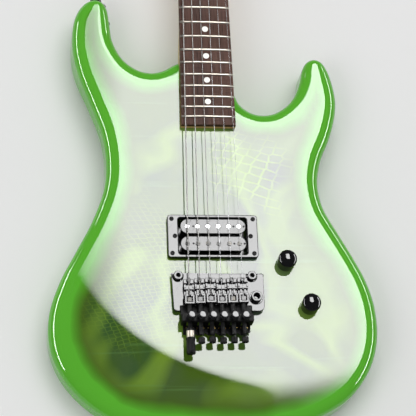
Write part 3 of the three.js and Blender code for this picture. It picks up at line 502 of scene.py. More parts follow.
class Effects:
    """Shader node groups that several finishes share, each built once."""

    @staticmethod
    def _group(
        name: str, inputs: dict[str, float], outputs: tuple[str, ...] = ("Mask",)
    ) -> tuple[Net, dict, dict]:
        """Starts a group with named numbers going in and coming out.

        Args:
            name: The group's name.
            inputs: Input name to its default.
            outputs: Output names.

        Returns:
            The tree, the inputs' sockets and the outputs' sockets.
        """
        tree = bpy.data.node_groups.new(name, "ShaderNodeTree")
        net = Net(tree)
        tree.interface.new_socket("Vector", in_out="INPUT", socket_type="NodeSocketVector")
        for label, value in inputs.items():
            socket = tree.interface.new_socket(label, in_out="INPUT", socket_type="NodeSocketFloat")
            socket.default_value = value
        for label in outputs:
            tree.interface.new_socket(label, in_out="OUTPUT", socket_type="NodeSocketFloat")
        came = tree.nodes.new("NodeGroupInput")
        goes = tree.nodes.new("NodeGroupOutput")
        return net, came.outputs, goes.inputs

    @staticmethod
    @cache
    def scratches() -> Tree:
        """Fine crossing scratches: the narrow crests of two stretched noises turned from each other."""
        net, i, o = Effects._group("fine_scratches", {"Scale": 900.0})
        crests = []
        for turn, stretch in ((0.5, (1.0, 0.03, 1.0)), (-0.9, (0.04, 1.0, 1.0))):
            spun = net.add("VectorRotate", {"Vector": i["Vector"], "Angle": turn}, rotation_type="Z_AXIS")
            long = net.stretched(spun.outputs[0], stretch)
            noise = net.noise(long, i["Scale"], 2.0)
            crests.append(net.scaled(noise, 0.66, 0.78))
        net.tree.links.new(net.math("MAXIMUM", crests[0], crests[1]), o["Mask"])
        return net.tree

    @staticmethod
    @cache
    def handling() -> Tree:
        """Hand marks: soft patches of broken noise that dull a gloss."""
        net, i, o = Effects._group("handling_marks", {"Scale": 22.0})
        broad = net.noise(i["Vector"], i["Scale"], 4.0, 0.6)
        fine_scale = net.times(i["Scale"], 14.0)
        fine = net.noise(i["Vector"], fine_scale, 3.0)
        patch = net.scaled(broad, 0.48, 0.7)
        net.tree.links.new(net.times(patch, net.scaled(fine, 0.3, 0.7, 0.4, 1.0)), o["Mask"])
        return net.tree

    @staticmethod
    @cache
    def dust() -> Tree:
        """Dust: tiny specks, the near cells of a fine cell pattern, on what faces up."""
        net, i, o = Effects._group("settled_dust", {"Scale": 700.0, "Amount": 0.3})
        cells = net.add("TexVoronoi", {"Vector": i["Vector"], "Scale": i["Scale"], "Randomness": 1.0})
        speck = net.scaled(cells.outputs["Distance"], 0.16, 0.08)
        thin = net.noise(i["Vector"], 60.0, 2.0)
        facing = net.add("SeparateXYZ", {0: net.add("NewGeometry").outputs["Normal"]}).outputs[2]
        up = net.scaled(facing, 0.5, 0.95)
        some = net.times(speck, net.scaled(thin, 0.5, 0.62))
        net.tree.links.new(net.times(net.times(some, up), i["Amount"]), o["Mask"])
        return net.tree

    @staticmethod
    @cache
    def grain() -> Tree:
        """Wood grain along Y: broad figure from stretched noise, and short dark pores from a finer one."""
        net, i, o = Effects._group("wood_grain", {"Scale": 90.0, "Pore Scale": 900.0}, ("Figure", "Pores"))
        long = net.stretched(i["Vector"], (1.0, 0.06, 1.0))
        figure = net.noise(long, i["Scale"], 6.0, 1.2)
        short = net.stretched(i["Vector"], (1.0, 0.035, 1.0))
        pores = net.add("TexNoise", {"Vector": short, "Scale": i["Pore Scale"], "Detail": 2.0})
        net.tree.links.new(net.scaled(figure, 0.3, 0.7), o["Figure"])
        net.tree.links.new(net.scaled(pores.outputs[0], 0.58, 0.7), o["Pores"])
        return net.tree

    @staticmethod
    @cache
    def worn_edge() -> Tree:
        """Edge wear: where the surface is sharply convex, broken up by noise."""
        net, i, o = Effects._group("edge_wear", {"Amount": 0.5})
        convex = net.scaled(net.add("NewGeometry").outputs["Pointiness"], 0.53, 0.62)
        rubbed = net.noise(i["Vector"], 260.0, 4.0)
        worn = net.times(convex, net.scaled(rubbed, 0.42, 0.62))
        net.tree.links.new(net.times(worn, i["Amount"]), o["Mask"])
        return net.tree


@dataclass(frozen=True)
class Finish:
    """What a surface is made of: its name, the record's slot and its plain values."""

    name: str
    slot: str
    colour: Colour
    roughness: float = 0.3
    metallic: float = 0.0
    shine: float = 0.5

    def material(self) -> bpy.types.Material:
        """Returns the finish's material, made on its first use."""
        made = bpy.data.materials.get("finish_" + self.name)
        if made is None:
            made = bpy.data.materials.new("finish_" + self.name)
            made.use_nodes = True
            net = Net(made.node_tree)
            out = net.add("OutputMaterial")
            coordinates = net.add("TexCoord").outputs["Object"]
            shader = net.add(
                "BsdfPrincipled",
                {
                    "Base Color": (*self.colour, 1.0), "Roughness": self.roughness, "Metallic": self.metallic,
                    "Specular IOR Level": self.shine})
            net.tree.links.new(shader.outputs[0], out.inputs[0])
            made.diffuse_color = (*self.colour, 1.0)
            self.dress(net, shader, coordinates)
        return made

    def effect(self, net: Net, group: Tree, at: Socket, **values: float) -> Node:
        """Places a shared effect in this finish with its own values."""
        node = net.add("Group", node_tree=group)
        net.tree.links.new(at, node.inputs["Vector"])
        for label, value in values.items():
            node.inputs[label.replace("_", " ")].default_value = value
        return node

    def dress(self, net: Net, shader: Node, at: Socket) -> None:
        """Adds the finish's own pattern to its shader."""
        raise NotImplementedError


@dataclass(frozen=True)
class Moulded(Finish):
    """Moulded or painted black parts: a slight colour drift, hand marks, scratches and a little dust."""

    marks: float = 0.12
    texture: float = 0.0
    wear: float = 0.0
    dust: float = 0.22
    worn_to: Colour = (0.35, 0.35, 0.36)

    def dress(self, net: Net, shader: Node, at: Socket) -> None:
        """Links colour, roughness and bump."""
        drift = net.noise(at, 35.0, 3.0)
        deep, light = (tuple(c * k for c in self.colour) for k in (0.75, 1.3))
        colour = net.mixed(drift, deep, light)
        dust = self.effect(net, Effects.dust(), at, Scale=800.0, Amount=self.dust)
        colour = net.mixed(dust.outputs[0], colour, (0.3, 0.3, 0.29))
        if self.wear > 0:
            worn = self.effect(net, Effects.worn_edge(), at, Amount=self.wear)
            colour = net.mixed(worn.outputs[0], colour, self.worn_to)
        marks = self.effect(net, Effects.handling(), at, Scale=24.0)
        scratch = self.effect(net, Effects.scratches(), at, Scale=900.0)
        rough = net.scaled(marks.outputs[0], 0.0, 1.0, self.roughness, self.roughness + self.marks)
        rough = net.plus(rough, net.times(scratch.outputs[0], 0.12))
        grit = net.noise(at, 2600.0, 1.0)
        height = net.plus(net.times(scratch.outputs[0], -0.3), net.times(grit, self.texture))
        net.feed(shader, colour, rough, height, 0.12, 0.0002)


@dataclass(frozen=True)
class BareMetal(Finish):
    """Polished or drawn metal: tarnish in patches, and fine lines along Y."""

    metallic: float = 1.0
    tarnish: Colour = (0.3, 0.26, 0.2)
    patches: float = 0.25
    lines: float = 0.4

    def dress(self, net: Net, shader: Node, at: Socket) -> None:
        """Links colour, roughness and bump."""
        marks = self.effect(net, Effects.handling(), at, Scale=40.0)
        share = net.times(marks.outputs[0], self.patches)
        colour = net.mixed(share, self.colour, self.tarnish)
        long = net.stretched(at, (1.0, 0.05, 1.0))
        drawn = net.noise(long, 2200.0, 2.0)
        rough = net.scaled(drawn, 0.3, 0.7, self.roughness * 0.8, self.roughness * 1.3)
        rough = net.plus(rough, net.times(share, 0.3))
        net.feed(shader, colour, rough, net.times(drawn, self.lines), 0.1, 0.0001)


@dataclass(frozen=True)
class Timber(Finish):
    """Wood with its grain along the neck."""

    dark: Colour = (0.1, 0.06, 0.04)
    figure: float = 0.5
    pores: float = 0.6
    figure_scale: float = 90.0

    def dress(self, net: Net, shader: Node, at: Socket) -> None:
        """Links colour, roughness and bump."""
        grain = self.effect(net, Effects.grain(), at, Scale=self.figure_scale, Pore_Scale=1000.0)
        broad = net.noise(at, 14.0, 3.0)
        tone = net.mixed(net.times(grain.outputs["Figure"], self.figure), self.colour, self.dark)
        tone = net.mixed(net.scaled(broad, 0.35, 0.7, 0.0, 0.35), tone, tuple(c * 1.25 for c in self.colour))
        pore = net.times(grain.outputs["Pores"], self.pores)
        tone = net.mixed(pore, tone, tuple(c * 0.45 for c in self.dark))
        marks = self.effect(net, Effects.handling(), at, Scale=18.0)
        rough = net.scaled(marks.outputs[0], 0.0, 1.0, self.roughness, self.roughness + 0.12)
        rough = net.plus(rough, net.times(pore, 0.2))
        net.feed(shader, tone, rough, net.times(pore, -1.0), 0.35, 0.0003)


@dataclass(frozen=True)
class Airbrushed(Finish):
    """Body lacquer: lime at the rim, sprayed inwards through olive to a mottled dark green.

    The mesh's rim attribute is each point's distance from the body's outline in millimetres.
    """

    olive: Colour = srgb(72, 100, 30)
    deep: Colour = srgb(50, 84, 50)
    cool: Colour = srgb(84, 88, 104)
    bright: Colour = srgb(150, 190, 62)
    ray: Colour = srgb(112, 158, 92)

    def wander(self, net: Net, at: Socket) -> Socket:
        """Adds a slow colour noise that bends the nets."""
        return net.add("TexNoise", {"Vector": at, "Scale": 6.0, "Detail": 1.0}).outputs[1]

    def dress(self, net: Net, shader: Node, at: Socket) -> None:
        """Links colour, roughness and bump."""
        rim = net.add("Attribute", attribute_name="rim").outputs["Fac"]
        edge_noise = net.noise(at, 9.0, 3.0)
        depth = net.plus(rim, net.scaled(edge_noise, 0.2, 0.8, -9.0, 9.0))
        cloud = net.noise(at, 11.0, 5.0, 0.7, 0.0)
        wash = net.mixed(net.scaled(cloud, 0.36, 0.6), self.deep, self.olive)
        wash = net.mixed(net.scaled(net.noise(at, 7.0, 2.0, 0.0, 3.0), 0.5, 0.66, 0.0, 0.8), wash, self.cool)
        # Ribbons: the middle band of a slow, twisted noise.
        flow = net.noise(at, 5.5, 1.5, 1.6, 5.0)
        ribbon = net.times(net.scaled(flow, 0.44, 0.5), net.scaled(flow, 0.56, 0.52))
        wash = net.mixed(net.times(ribbon, 0.4), wash, self.bright)
        # Two nets, coarse and fine, each round its own spot: thin lines between stretched cells.
        for size, turn, spot, reach, strength in (
            (75.0, 0.35, (0.05, 0.13, 0.044), 0.045, 0.6), (150.0, -0.3, (-0.075, 0.01, 0.044), 0.085, 0.25)
        ):
            bent = net.add(
                "VectorMath", {0: at, 1: net.mixed(0.94, self.wander(net, at), (0.5, 0.5, 0.5))},
                operation="ADD")
            laid = net.add(
                "Mapping", {"Vector": bent.outputs[0], "Rotation": (0.0, 0.0, turn), "Scale": (1.0, 1.7, 0.0)}
            )
            cells = net.add(
                "TexVoronoi", {"Vector": laid.outputs[0], "Scale": size, "Randomness": 0.3},
                feature="DISTANCE_TO_EDGE")
            line = net.scaled(cells.outputs["Distance"], 0.13, 0.02)
            gap = net.add("VectorMath", {0: at, 1: spot}, operation="DISTANCE").outputs["Value"]
            rough_gap = net.plus(gap, net.scaled(net.noise(at, 24.0, 2.0, 0.0, 0.0), 0.3, 0.7, -0.03, 0.03))
            patch = net.scaled(rough_gap, reach, reach - 0.03)
            wash = net.mixed(net.times(net.times(line, patch), strength), wash, self.bright)
        # Rays: crests of a noise stretched along them.
        swept = net.add("Mapping", {"Vector": at, "Rotation": (0.0, 0.0, 0.42), "Scale": (1.6, 40.0, 1.0)})
        streak = net.noise(swept.outputs[0], 4.0, 3.0, 0.0, 0.0)
        wash = net.mixed(net.scaled(streak, 0.6, 0.76, 0.0, 0.4), wash, self.ray)
        fade = net.scaled(depth, 17.0, 47.0)
        fade = net.math("POWER", fade, 0.7)
        drift = net.noise(at, 16.0, 2.0)
        lime = net.mixed(drift, tuple(c * 0.94 for c in self.colour), tuple(c * 1.06 for c in self.colour))
        middle = net.mixed(net.scaled(fade, 0.0, 0.55), lime, self.olive)
        colour = net.mixed(net.scaled(fade, 0.4, 1.0), middle, wash)
        marks = self.effect(net, Effects.handling(), at, Scale=9.0)
        dust = self.effect(net, Effects.dust(), at, Scale=650.0, Amount=0.12)
        scratch = self.effect(net, Effects.scratches(), at, Scale=420.0)
        colour = net.mixed(dust.outputs[0], colour, (0.5, 0.5, 0.48))
        rough = net.scaled(marks.outputs[0], 0.0, 1.0, self.roughness, self.roughness + 0.03)
        rough = net.plus(rough, net.times(scratch.outputs[0], 0.02))
        peel = net.noise(at, 240.0, 1.0)
        height = net.plus(net.times(peel, 0.5), net.times(scratch.outputs[0], -0.25))
        net.feed(shader, colour, rough, height, 0.05, 0.0001)


@dataclass(frozen=True)
class Pearl(Finish):
    """Inlay plastic: soft swirls of a lighter and a darker white."""

    def dress(self, net: Net, shader: Node, at: Socket) -> None:
        """Links colour and roughness."""
        swirl = net.noise(at, 320.0, 3.0, 2.0)
        colour = net.mixed(swirl, tuple(c * 0.86 for c in self.colour), self.colour)
        rough = net.scaled(swirl, 0.0, 1.0, self.roughness, self.roughness + 0.15)
        net.feed(shader, colour, rough)


@dataclass(frozen=True)
class Felt(Finish):
    """Felt washer: short tangled fibres."""

    def dress(self, net: Net, shader: Node, at: Socket) -> None:
        """Links colour and bump."""
        fibre = net.noise(at, 2400.0, 4.0, 3.0)
        colour = net.mixed(fibre, tuple(c * 0.6 for c in self.colour), self.colour)
        net.feed(shader, colour, None, fibre, 0.6, 0.0003)


LACQUER = Airbrushed("body_lacquer", "body_lacquer", srgb(92, 180, 50), roughness=0.04)
GLOSS_BLACK = Moulded(
    "gloss_black_plastic", "gloss_plastic", (0.006, 0.006, 0.007), roughness=0.05, marks=0.05)
COIL_BLACK = Moulded(
    "bobbin_plastic", "gloss_plastic", (0.007, 0.007, 0.008), roughness=0.16, marks=0.06, texture=0.3)
BLACK_METAL = Moulded(
    "black_plated_metal", "black_metal", (0.008, 0.008, 0.009), roughness=0.07, marks=0.07, wear=0.25)
DULL_METAL = Moulded(
    "black_hardened_metal", "black_metal", (0.01, 0.01, 0.011), roughness=0.22, marks=0.1, wear=0.4)
BLACK_OXIDE = Moulded(
    "black_oxide_screw", "black_metal", (0.004, 0.004, 0.004), roughness=0.46, shine=0.14, marks=0.1,
    wear=0.1, dust=0.06)
COVER_BLACK = Moulded(
    "rear_cover_plastic", "cover_plastic", (0.009, 0.009, 0.009), roughness=0.4, marks=0.1, texture=1.0)
STEEL = BareMetal("string_steel", "string_steel", (0.3, 0.3, 0.31), roughness=0.3)
WOUND = BareMetal("wound_string_nickel", "string_steel", (0.2, 0.195, 0.19), roughness=0.36)
POLE_STEEL = BareMetal("pole_steel", "string_steel", (0.55, 0.55, 0.56), roughness=0.12)
AGED_STEEL = BareMetal("aged_steel", "string_steel", (0.05, 0.05, 0.049), roughness=0.3, patches=0.5)
FRET_NICKEL = BareMetal("fret_nickel_silver", "string_steel", (0.4, 0.37, 0.32), roughness=0.34)
BRASS = BareMetal("brass", "string_steel", (0.55, 0.4, 0.16), roughness=0.25, tarnish=(0.2, 0.12, 0.05))
MAPLE = Timber(
    "maple", "maple", srgb(214, 178, 118), roughness=0.32, dark=srgb(186, 142, 84), figure=0.6, pores=0.15)
ROSEWOOD = Timber(
    "rosewood", "rosewood", srgb(84, 55, 44), roughness=0.55, shine=0.2, dark=srgb(42, 25, 20), figure=0.9,
    pores=0.75, figure_scale=150.0)
INLAY = Pearl("inlay_pearl", "rosewood", srgb(214, 212, 204), roughness=0.15)
FELT = Felt("black_felt", "cover_plastic", (0.012, 0.012, 0.012), roughness=0.95)


# ---- Putting surfaces into the scene
class Workshop:
    """Turns surfaces into finished pieces on their bodies."""

    @staticmethod
    def mesh(name: str, skin: Skin) -> bpy.types.Mesh:
        """Returns a surface as a mesh in metres, smooth all over."""
        made = bpy.data.meshes.new(name)
        points = skin.points * 0.001
        corners = np.concatenate([f.ravel() for f in skin.faces]).astype(np.int32)
        counts = np.concatenate([np.full(len(f), f.shape[1]) for f in skin.faces]).astype(np.int32)
        made.vertices.add(len(points))
        made.vertices.foreach_set("co", points.astype(np.float32).ravel())
        made.loops.add(len(corners))
        made.loops.foreach_set("vertex_index", corners)
        made.polygons.add(len(counts))
        made.polygons.foreach_set(
            "loop_start", np.concatenate([[0], np.cumsum(counts)[:-1]]).astype(np.int32))
        made.polygons.foreach_set("use_smooth", np.ones(len(counts), dtype=bool))
        made.update(calc_edges=True)
        made.validate()
        return made

    def piece(
        self,
        name: str,
        skin: Skin,
        finish: Finish,
        body: str = "guitar",
        nodes: tuple[str, ...] = (),
        crease: float = 40.0,
        even: bool = True,
    ) -> bpy.types.Object:
        """Makes one finished piece.

        Args:
            name: The piece's name.
            skin: Its surface.
            finish: Its finish.
            body: The CAD body it rides on, or nothing for a piece that is blended between two.
            nodes: CAD nodes that it stands for.
            crease: Edges sharper than this many degrees stay sharp.
            even: Whether flat faces keep their own direction against the rounded edges beside them.

        Returns:
            The piece.
        """
        obj = shown(name, self.mesh(name, skin))
        obj.data.materials.append(finish.material())
        obj.data.set_sharp_from_angle(angle=math.radians(crease))
        if even:
            self.steady(obj)
        if body:
            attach(obj, body)
        if nodes:
            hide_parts(*nodes)
        LOG.info("%s: %d faces on %s", name, len(obj.data.polygons), body)
        return obj

    @staticmethod
    def steady(obj: bpy.types.Object) -> None:
        """Lets a piece's flat faces keep their own direction against the rounded edges beside them."""
        modifier = obj.modifiers.new("even_shading", "WEIGHTED_NORMAL")
        modifier.mode = "FACE_AREA"
        modifier.keep_sharp = True

    @staticmethod
    def carve(obj: bpy.types.Object, cutters: tuple[Skin, ...]) -> None:
        """Cuts closed surfaces out of a piece, one after another."""
        for number, skin in enumerate(cutters):
            tool = shown(f"cutter_{number}", Workshop.mesh(f"cutter_{number}", skin))
            cut = obj.modifiers.new("cut", "BOOLEAN")
            cut.operation, cut.solver, cut.object = "DIFFERENCE", "EXACT", tool
            graph = bpy.context.evaluated_depsgraph_get()
            fresh = bpy.data.meshes.new_from_object(obj.evaluated_get(graph))
            obj.modifiers.remove(cut)
            old, obj.data = obj.data, fresh
            bpy.data.meshes.remove(old)
            bpy.data.objects.remove(tool)


class Drive(Enum):
    """The recess in a screw's head."""

    SLOT = "slot"
    CROSS = "cross"
    HEX = "hex"


@dataclass
class Screw:
    """A screw's head and shank, standing on z = 0."""

    radius: float
    height: float
    drive: Drive
    shank: float = 0.0
    length: float = 0.0
    dome: float = 0.5

    def recess(self) -> list[np.ndarray]:
        """Returns the outlines of the recess."""
        r = self.radius
        if self.drive is Drive.HEX:
            return [circle(0, 0, r * 0.52, 6)]
        if self.drive is Drive.SLOT:
            return [rectangle(-r * 0.86, r * 0.86, -r * 0.14, r * 0.14)]
        a, b = r * 0.16, r * 0.6
        cross = [
            (a, a), (a, b), (-a, b), (-a, a), (-b, a), (-b, -a), (-a, -a), (-a, -b), (a, -b), (a, -a),
            (b, -a), (b, a)]
        return [np.array(cross)[::-1]]

    def skin(self) -> Skin:
        """Returns the screw: a rounded head with its recess over a solid lower half, and its shank."""
        deep = self.height * 0.55
        crown = slab(
            circle(0, 0, self.radius, 28), self.height - deep, self.height, self.dome, tuple(self.recess()),
            3, 0.0)
        foot = cylinder(self.radius, 0, self.height - deep + 0.02, 28)
        parts = [crown, foot]
        if self.length > 0:
            parts.append(
                turned_shape(
                    [
                        (0, -self.length), (self.shank * 0.7, -self.length + 1),
                        (self.shank, -self.length + 2.5), (self.shank, 0.01), (0, 0.01)],
                    14))
        return joined(*parts)


def screw(*sizes: float | Drive) -> Skin:
    """Returns the surface of a screw with the given sizes."""
    return Screw(*sizes).skin()


# ---- Where things are
def corners(node: str) -> tuple[np.ndarray, np.ndarray]:
    """Returns a CAD node's lowest and highest corners in millimetres."""
    low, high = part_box(node)
    return np.array(low) * 1000, np.array(high) * 1000


def centre(node: str) -> np.ndarray:
    """Returns the middle of a CAD node's box in millimetres."""
    low, high = corners(node)
    return (low + high) / 2


@dataclass
class Strung:
    """The strings' layout, which most of the hardware follows."""

    scale: float = 647.7
    nut_spread: float = 35.6
    bridge_spread: float = 54.0
    nut_width: float = 43.0
    heel_width: float = 56.4
    frets: int = 22
    radii: tuple[float, ...] = (0.55, 0.45, 0.33, 0.22, 0.17, 0.13)

    def x(self, number: int, y: float) -> float:
        """Returns a string's place across the neck at a height up it."""
        spread = self.bridge_spread + (self.nut_spread - self.bridge_spread) * y / self.scale
        return spread * (number / (STRINGS - 1) - 0.5)

    def fret(self, number: int) -> float:
        """Returns a fret's place: the string length halves every twelve frets."""
        return self.scale * 2 ** (-number / 12)

    def heel(self) -> float:
        """Returns where the fretboard ends over the body."""
        return self.fret(self.frets) - 9.0

    def width(self, y: float) -> float:
        """Returns the fretboard's width at a height up the neck."""
        end = self.heel()
        return self.nut_width + (self.heel_width - self.nut_width) * (self.scale - y) / (self.scale - end)


# ---- Body
@dataclass
class Body:
    """The sculpted body: rings of one closed outline, two shaped faces, and the cavities cut into it.

    The face falls away under the forearm as a shallow cone, and the back is hollowed by a tipped drum.
    """

    work: Workshop
    outline: tuple[Pair, ...] = (
        (31, 212), (36, 202), (47, 193.5), (59, 191), (71, 193), (84, 201), (94, 213), (100.5, 229),
        (104.2, 244), (109, 252), (116.5, 255), (124, 252.4), (129.5, 245), (134.5, 230), (137.5, 209),
        (135.5, 190), (128, 165), (117.5, 140), (113, 115), (117, 89), (130, 63), (144, 37), (157, 9),
        (164, -19), (164, -52), (154, -83), (132, -111), (98, -131), (55, -144), (5, -149), (-45, -147),
        (-90, -136), (-125, -115), (-150, -88), (-163, -58), (-164, -25), (-154, 7), (-137, 40),
        (-119, 75), (-107, 110), (-105, 138), (-109, 168), (-121, 203), (-132, 234), (-137.5, 262),
        (-137, 286), (-133.5, 301), (-127.5, 311.5), (-121, 317.2), (-113.5, 319.2), (-106, 316.8),
        (-101, 309), (-98.6, 294), (-95.5, 272), (-85, 251.5), (-70, 240), (-56, 237), (-43, 240),
        (-31, 247), (-18, 251.5), (0, 250), (14, 242), (24, 229),
    )
    back: float = 2.0
    top: float = 46.0
    edge_top: float = 10.0
    edge_width: float = 12.5
    edge_back: float = 5.0
    forearm_hub: Pair = (64.0, 138.0)
    forearm_radius: float = 243.0
    forearm_slope: float = 0.15
    forearm_fade: Pair = (60.0, -35.0)
    belly_at: Pair = (-56.0, 170.0)
    belly_radius: float = 170.0
    belly_slope: float = 0.2

    def curve(self, divisions: int = 9) -> tuple[np.ndarray, np.ndarray]:
        """Samples the outline as a closed centripetal Catmull-Rom curve, anticlockwise.

        Each span is a cubic Hermite curve whose end slopes come from its neighbours, spaced by the square
        roots of the distances between the points.

        Args:
            divisions: Samples in each span.

        Returns:
            The points, and the unit directions that point into the body.
        """
        p1 = np.array(self.outline[::-1], dtype=float)
        p0, p2, p3 = (np.roll(p1, k, 0) for k in (1, -1, -2))
        d0, d1, d2 = (
            np.sqrt(np.linalg.norm(b - a, axis=1))[:, None] for a, b in ((p0, p1), (p1, p2), (p2, p3)))
        m1 = ((p1 - p0) / d0 - (p2 - p0) / (d0 + d1) + (p2 - p1) / d1) * d1
        m2 = ((p2 - p1) / d1 - (p3 - p1) / (d1 + d2) + (p3 - p2) / d2) * d1
        t = np.linspace(0, 1, divisions, endpoint=False)[None, :, None]
        a, m, b, n = p1[:, None], m1[:, None], p2[:, None], m2[:, None]
        at = (
            2 * t**3 - 3 * t**2 + 1
        ) * a + (t**3 - 2 * t**2 + t) * m + (3 * t**2 - 2 * t**3) * b + (t**3 - t**2) * n
        slope = (6 * t**2 - 6 * t) * (a - b) + (3 * t**2 - 4 * t + 1) * m + (3 * t**2 - 2 * t) * n
        slope = slope.reshape(-1, 2) / np.linalg.norm(slope.reshape(-1, 2), axis=1)[:, None]
        return at.reshape(-1, 2), np.stack([-slope[:, 1], slope[:, 0]], 1)

    def room(self, at: np.ndarray) -> np.ndarray:
        """Returns how much of the edge radius the outline has room for at each point.

        The radius of the circle through a point and the two that lie four samples off is compared with the
        edge radius where the outline bulges; the least of the near points is taken, and then their mean.
        """
        a, b = np.roll(at, 4, 0) - at, np.roll(at, -4, 0) - at
        cross = a[:, 0] * b[:, 1] - a[:, 1] * b[:, 0]
        sides = np.linalg.norm(a, axis=1) * np.linalg.norm(b, axis=1) * np.linalg.norm(b - a, axis=1)
        radius = np.where(cross < -1e-6, sides / np.maximum(-2 * cross, 1e-6), 1e6)
        share = np.minimum(1, 0.72 * radius / self.edge_width)
        window = range(-8, 9)
        share = np.min([np.roll(share, k) for k in window], axis=0)
        return np.mean([np.roll(share, k) for k in window], axis=0)

    def fall(self, xy: np.ndarray) -> np.ndarray:
        """Returns how far the face lies below its flat part.

        The slope starts on a circle, with a softened crease, and fades out towards the treble side.
        """
        beyond = np.linalg.norm(xy - self.forearm_hub, axis=1) - self.forearm_radius
        share = np.clip(
            (xy[:, 0] - self.forearm_fade[0]) / (self.forearm_fade[1] - self.forearm_fade[0]), 0, 1)
        share = share**2 * (3 - 2 * share) * np.clip((150 - xy[:, 1]) / 120, 0, 1)
        return smooth_step(beyond, 3.0) * math.tan(self.forearm_slope) * share

    def hollow(self, xy: np.ndarray) -> np.ndarray:
        """Returns how far the back is hollowed: the height of a drum along X, tipped towards the bass rim."""
        dx, dy = xy[:, 0] - self.belly_at[0], xy[:, 1] - self.belly_at[1]
        sag = self.belly_radius - np.sqrt(np.maximum(self.belly_radius**2 - dy**2, 0))
        rise = -dx * math.tan(self.belly_slope) - sag / math.cos(self.belly_slope)
        return smooth_step(rise, 2.5) - smooth_step(np.full(len(xy), -60.0), 2.5)

    def blank(self) -> Skin:
        """Builds the uncut body: wall and roundover rings, and two faces meshed by a Delaunay net."""
        at, inward = self.curve()
        inward = inward * self.room(at)[:, None]
        quarter = np.linspace(0, np.pi / 2, 8)
        rows = []
        for a in quarter[::-1]:
            xy = at + inward * self.edge_back * (1 - math.cos(a))
            rows.append(
                np.column_stack([xy, self.back + self.hollow(xy) + self.edge_back * (1 - math.sin(a))]))
        low, high = rows[-1][:, 2], self.top - self.edge_top - self.fall(at)
        rows += [np.column_stack([at, low + (high - low) * share]) for share in (0.33, 0.67)]
        for a in quarter:
            xy = at + inward * self.edge_width * (1 - math.cos(a))
            rows.append(np.column_stack([xy, self.top - self.fall(xy) - self.edge_top * (1 - math.sin(a))]))
        under, over = at + inward * (self.edge_back + 0.6), at + inward * (self.edge_width + 0.6)
        rows.insert(0, np.column_stack([under, self.back + self.hollow(under)]))
        rows.append(np.column_stack([over, self.top - self.fall(over)]))
        count = len(at)
        points, faces, total = list(rows), [quads_between(len(rows), count)], count * len(rows)
        grid = np.stack(np.meshgrid(np.arange(-168, 168, 4.0), np.arange(-152, 322, 4.0)), -1).reshape(-1, 2)
        for start, upward in ((0, False), ((len(rows) - 1) * count, True)):
            edge = rows[start // count][:, :2]
            near = grid[inside(grid, edge)]
            near = near[nearest(near, edge) > 2.0]
            flat = [Vector(p) for p in np.concatenate([edge, near])]
            sides = [(i, (i + 1) % count) for i in range(count)]
            _, _, tris, origin, _, _ = delaunay_2d_cdt(flat, sides, [], 1, 1e-6)
            number = np.array([o[0] for o in origin])
            tris = number[np.array(tris, dtype=int)]
            place = np.concatenate([start + np.arange(count), total + np.arange(len(near))])
            level = self.top - self.fall(near) if upward else self.back + self.hollow(near)
            points.append(np.column_stack([near, level]))
            total += len(near)
            faces.append(place[facing(tris, np.concatenate([edge, near]), upward)])
        return Skin(np.concatenate(points), faces)

    def cutters(self, strung: Strung) -> tuple[Skin, Skin]:
        """Returns the pockets and cavities, and then the holes that open into them."""
        end = strung.heel()
        half0, half1 = strung.width(end) / 2 + 0.3, strung.width(300.0) / 2 + 0.3
        pocket = np.array([[-half0, end - 0.3], [half0, end - 0.3], [half1, 300], [-half1, 300]])
        jack = centre("output_jack")
        wide = [
            slab(softened(pocket, [3, 3, 0.1, 0.1]), 30, 60, 0),
            slab(panel(-36, 36, 33.2, 73.2, 5), 26, 50, 0), slab(panel(-38, 38, -24, 124, 8), -2, 19, 0),
            slab(softened(CONTROL_CAVITY, 8), -2, 38, 0),
            cylinder(10.25, 0, 40, 48).turned("Y", 90).moved(JACK_FACE, *jack[1:])]
        narrow = [
            slab(panel(-30.5, 30.5, -16, 10, 4), 17, 50, 0),
            cylinder(6.25, 0, 60, 32).turned("Y", 90).moved(131, *jack[1:])]
        for (x, y), heading in ((HORN_BUTTON, HORN_HEADING), (TAIL_BUTTON, TAIL_HEADING)):
            rod = cylinder(1.9, -24, 2, 16).turned("X", -90)
            seat = cylinder(6.3, -1, 20, 32).turned("X", -90)
            narrow.append(rod.turned("Z", math.degrees(heading)).moved(x, y, STRAP_Z))
            wide.append(seat.turned("Z", math.degrees(heading)).moved(x, y, STRAP_Z))
        for knob in ("volume_knob", "tone_knob"):
            x, y, _ = centre(knob)
            narrow.append(cylinder(3.95, 12, 50, 32).moved(x, y))
        for side in ("bass", "treble"):
            x, y, _ = centre(f"pivot_stud_{side}")
            narrow.append(cylinder(4.75, 21, 50, 32).moved(x, y))
        for x in CLAW_SCREWS:
            narrow.append(cylinder(2.25, 0, 27, 16).turned("X", -90).moved(x, 123, SPRING_Z))
        return joined(*wide), joined(*narrow)

    def build(self, strung: Strung) -> None:
        """Makes the body's piece, with its rim attribute worked out after the cuts."""
        shell = self.work.piece("body_shell", self.blank(), LACQUER, "guitar", ("body",), 40, False)
        self.work.carve(shell, self.cutters(strung))
        mesh = shell.data
        for name in {"custom_normal", "sharp_edge"} & set(mesh.attributes.keys()):
            mesh.attributes.remove(mesh.attributes[name])
        mesh.set_sharp_from_angle(angle=math.radians(40))
        self.work.steady(shell)
        points = np.empty(len(mesh.vertices) * 3, dtype=np.float32)
        mesh.vertices.foreach_get("co", points)
        points = points.reshape(-1, 3) * 1000
        away = nearest(points[:, :2].astype(float), self.curve(5)[0])
        away *= np.clip((points[:, 2] - 18) / 14, 0, 1)
        rim = mesh.attributes.new("rim", "FLOAT", "POINT")
        rim.data.foreach_set("value", away.astype(np.float32))


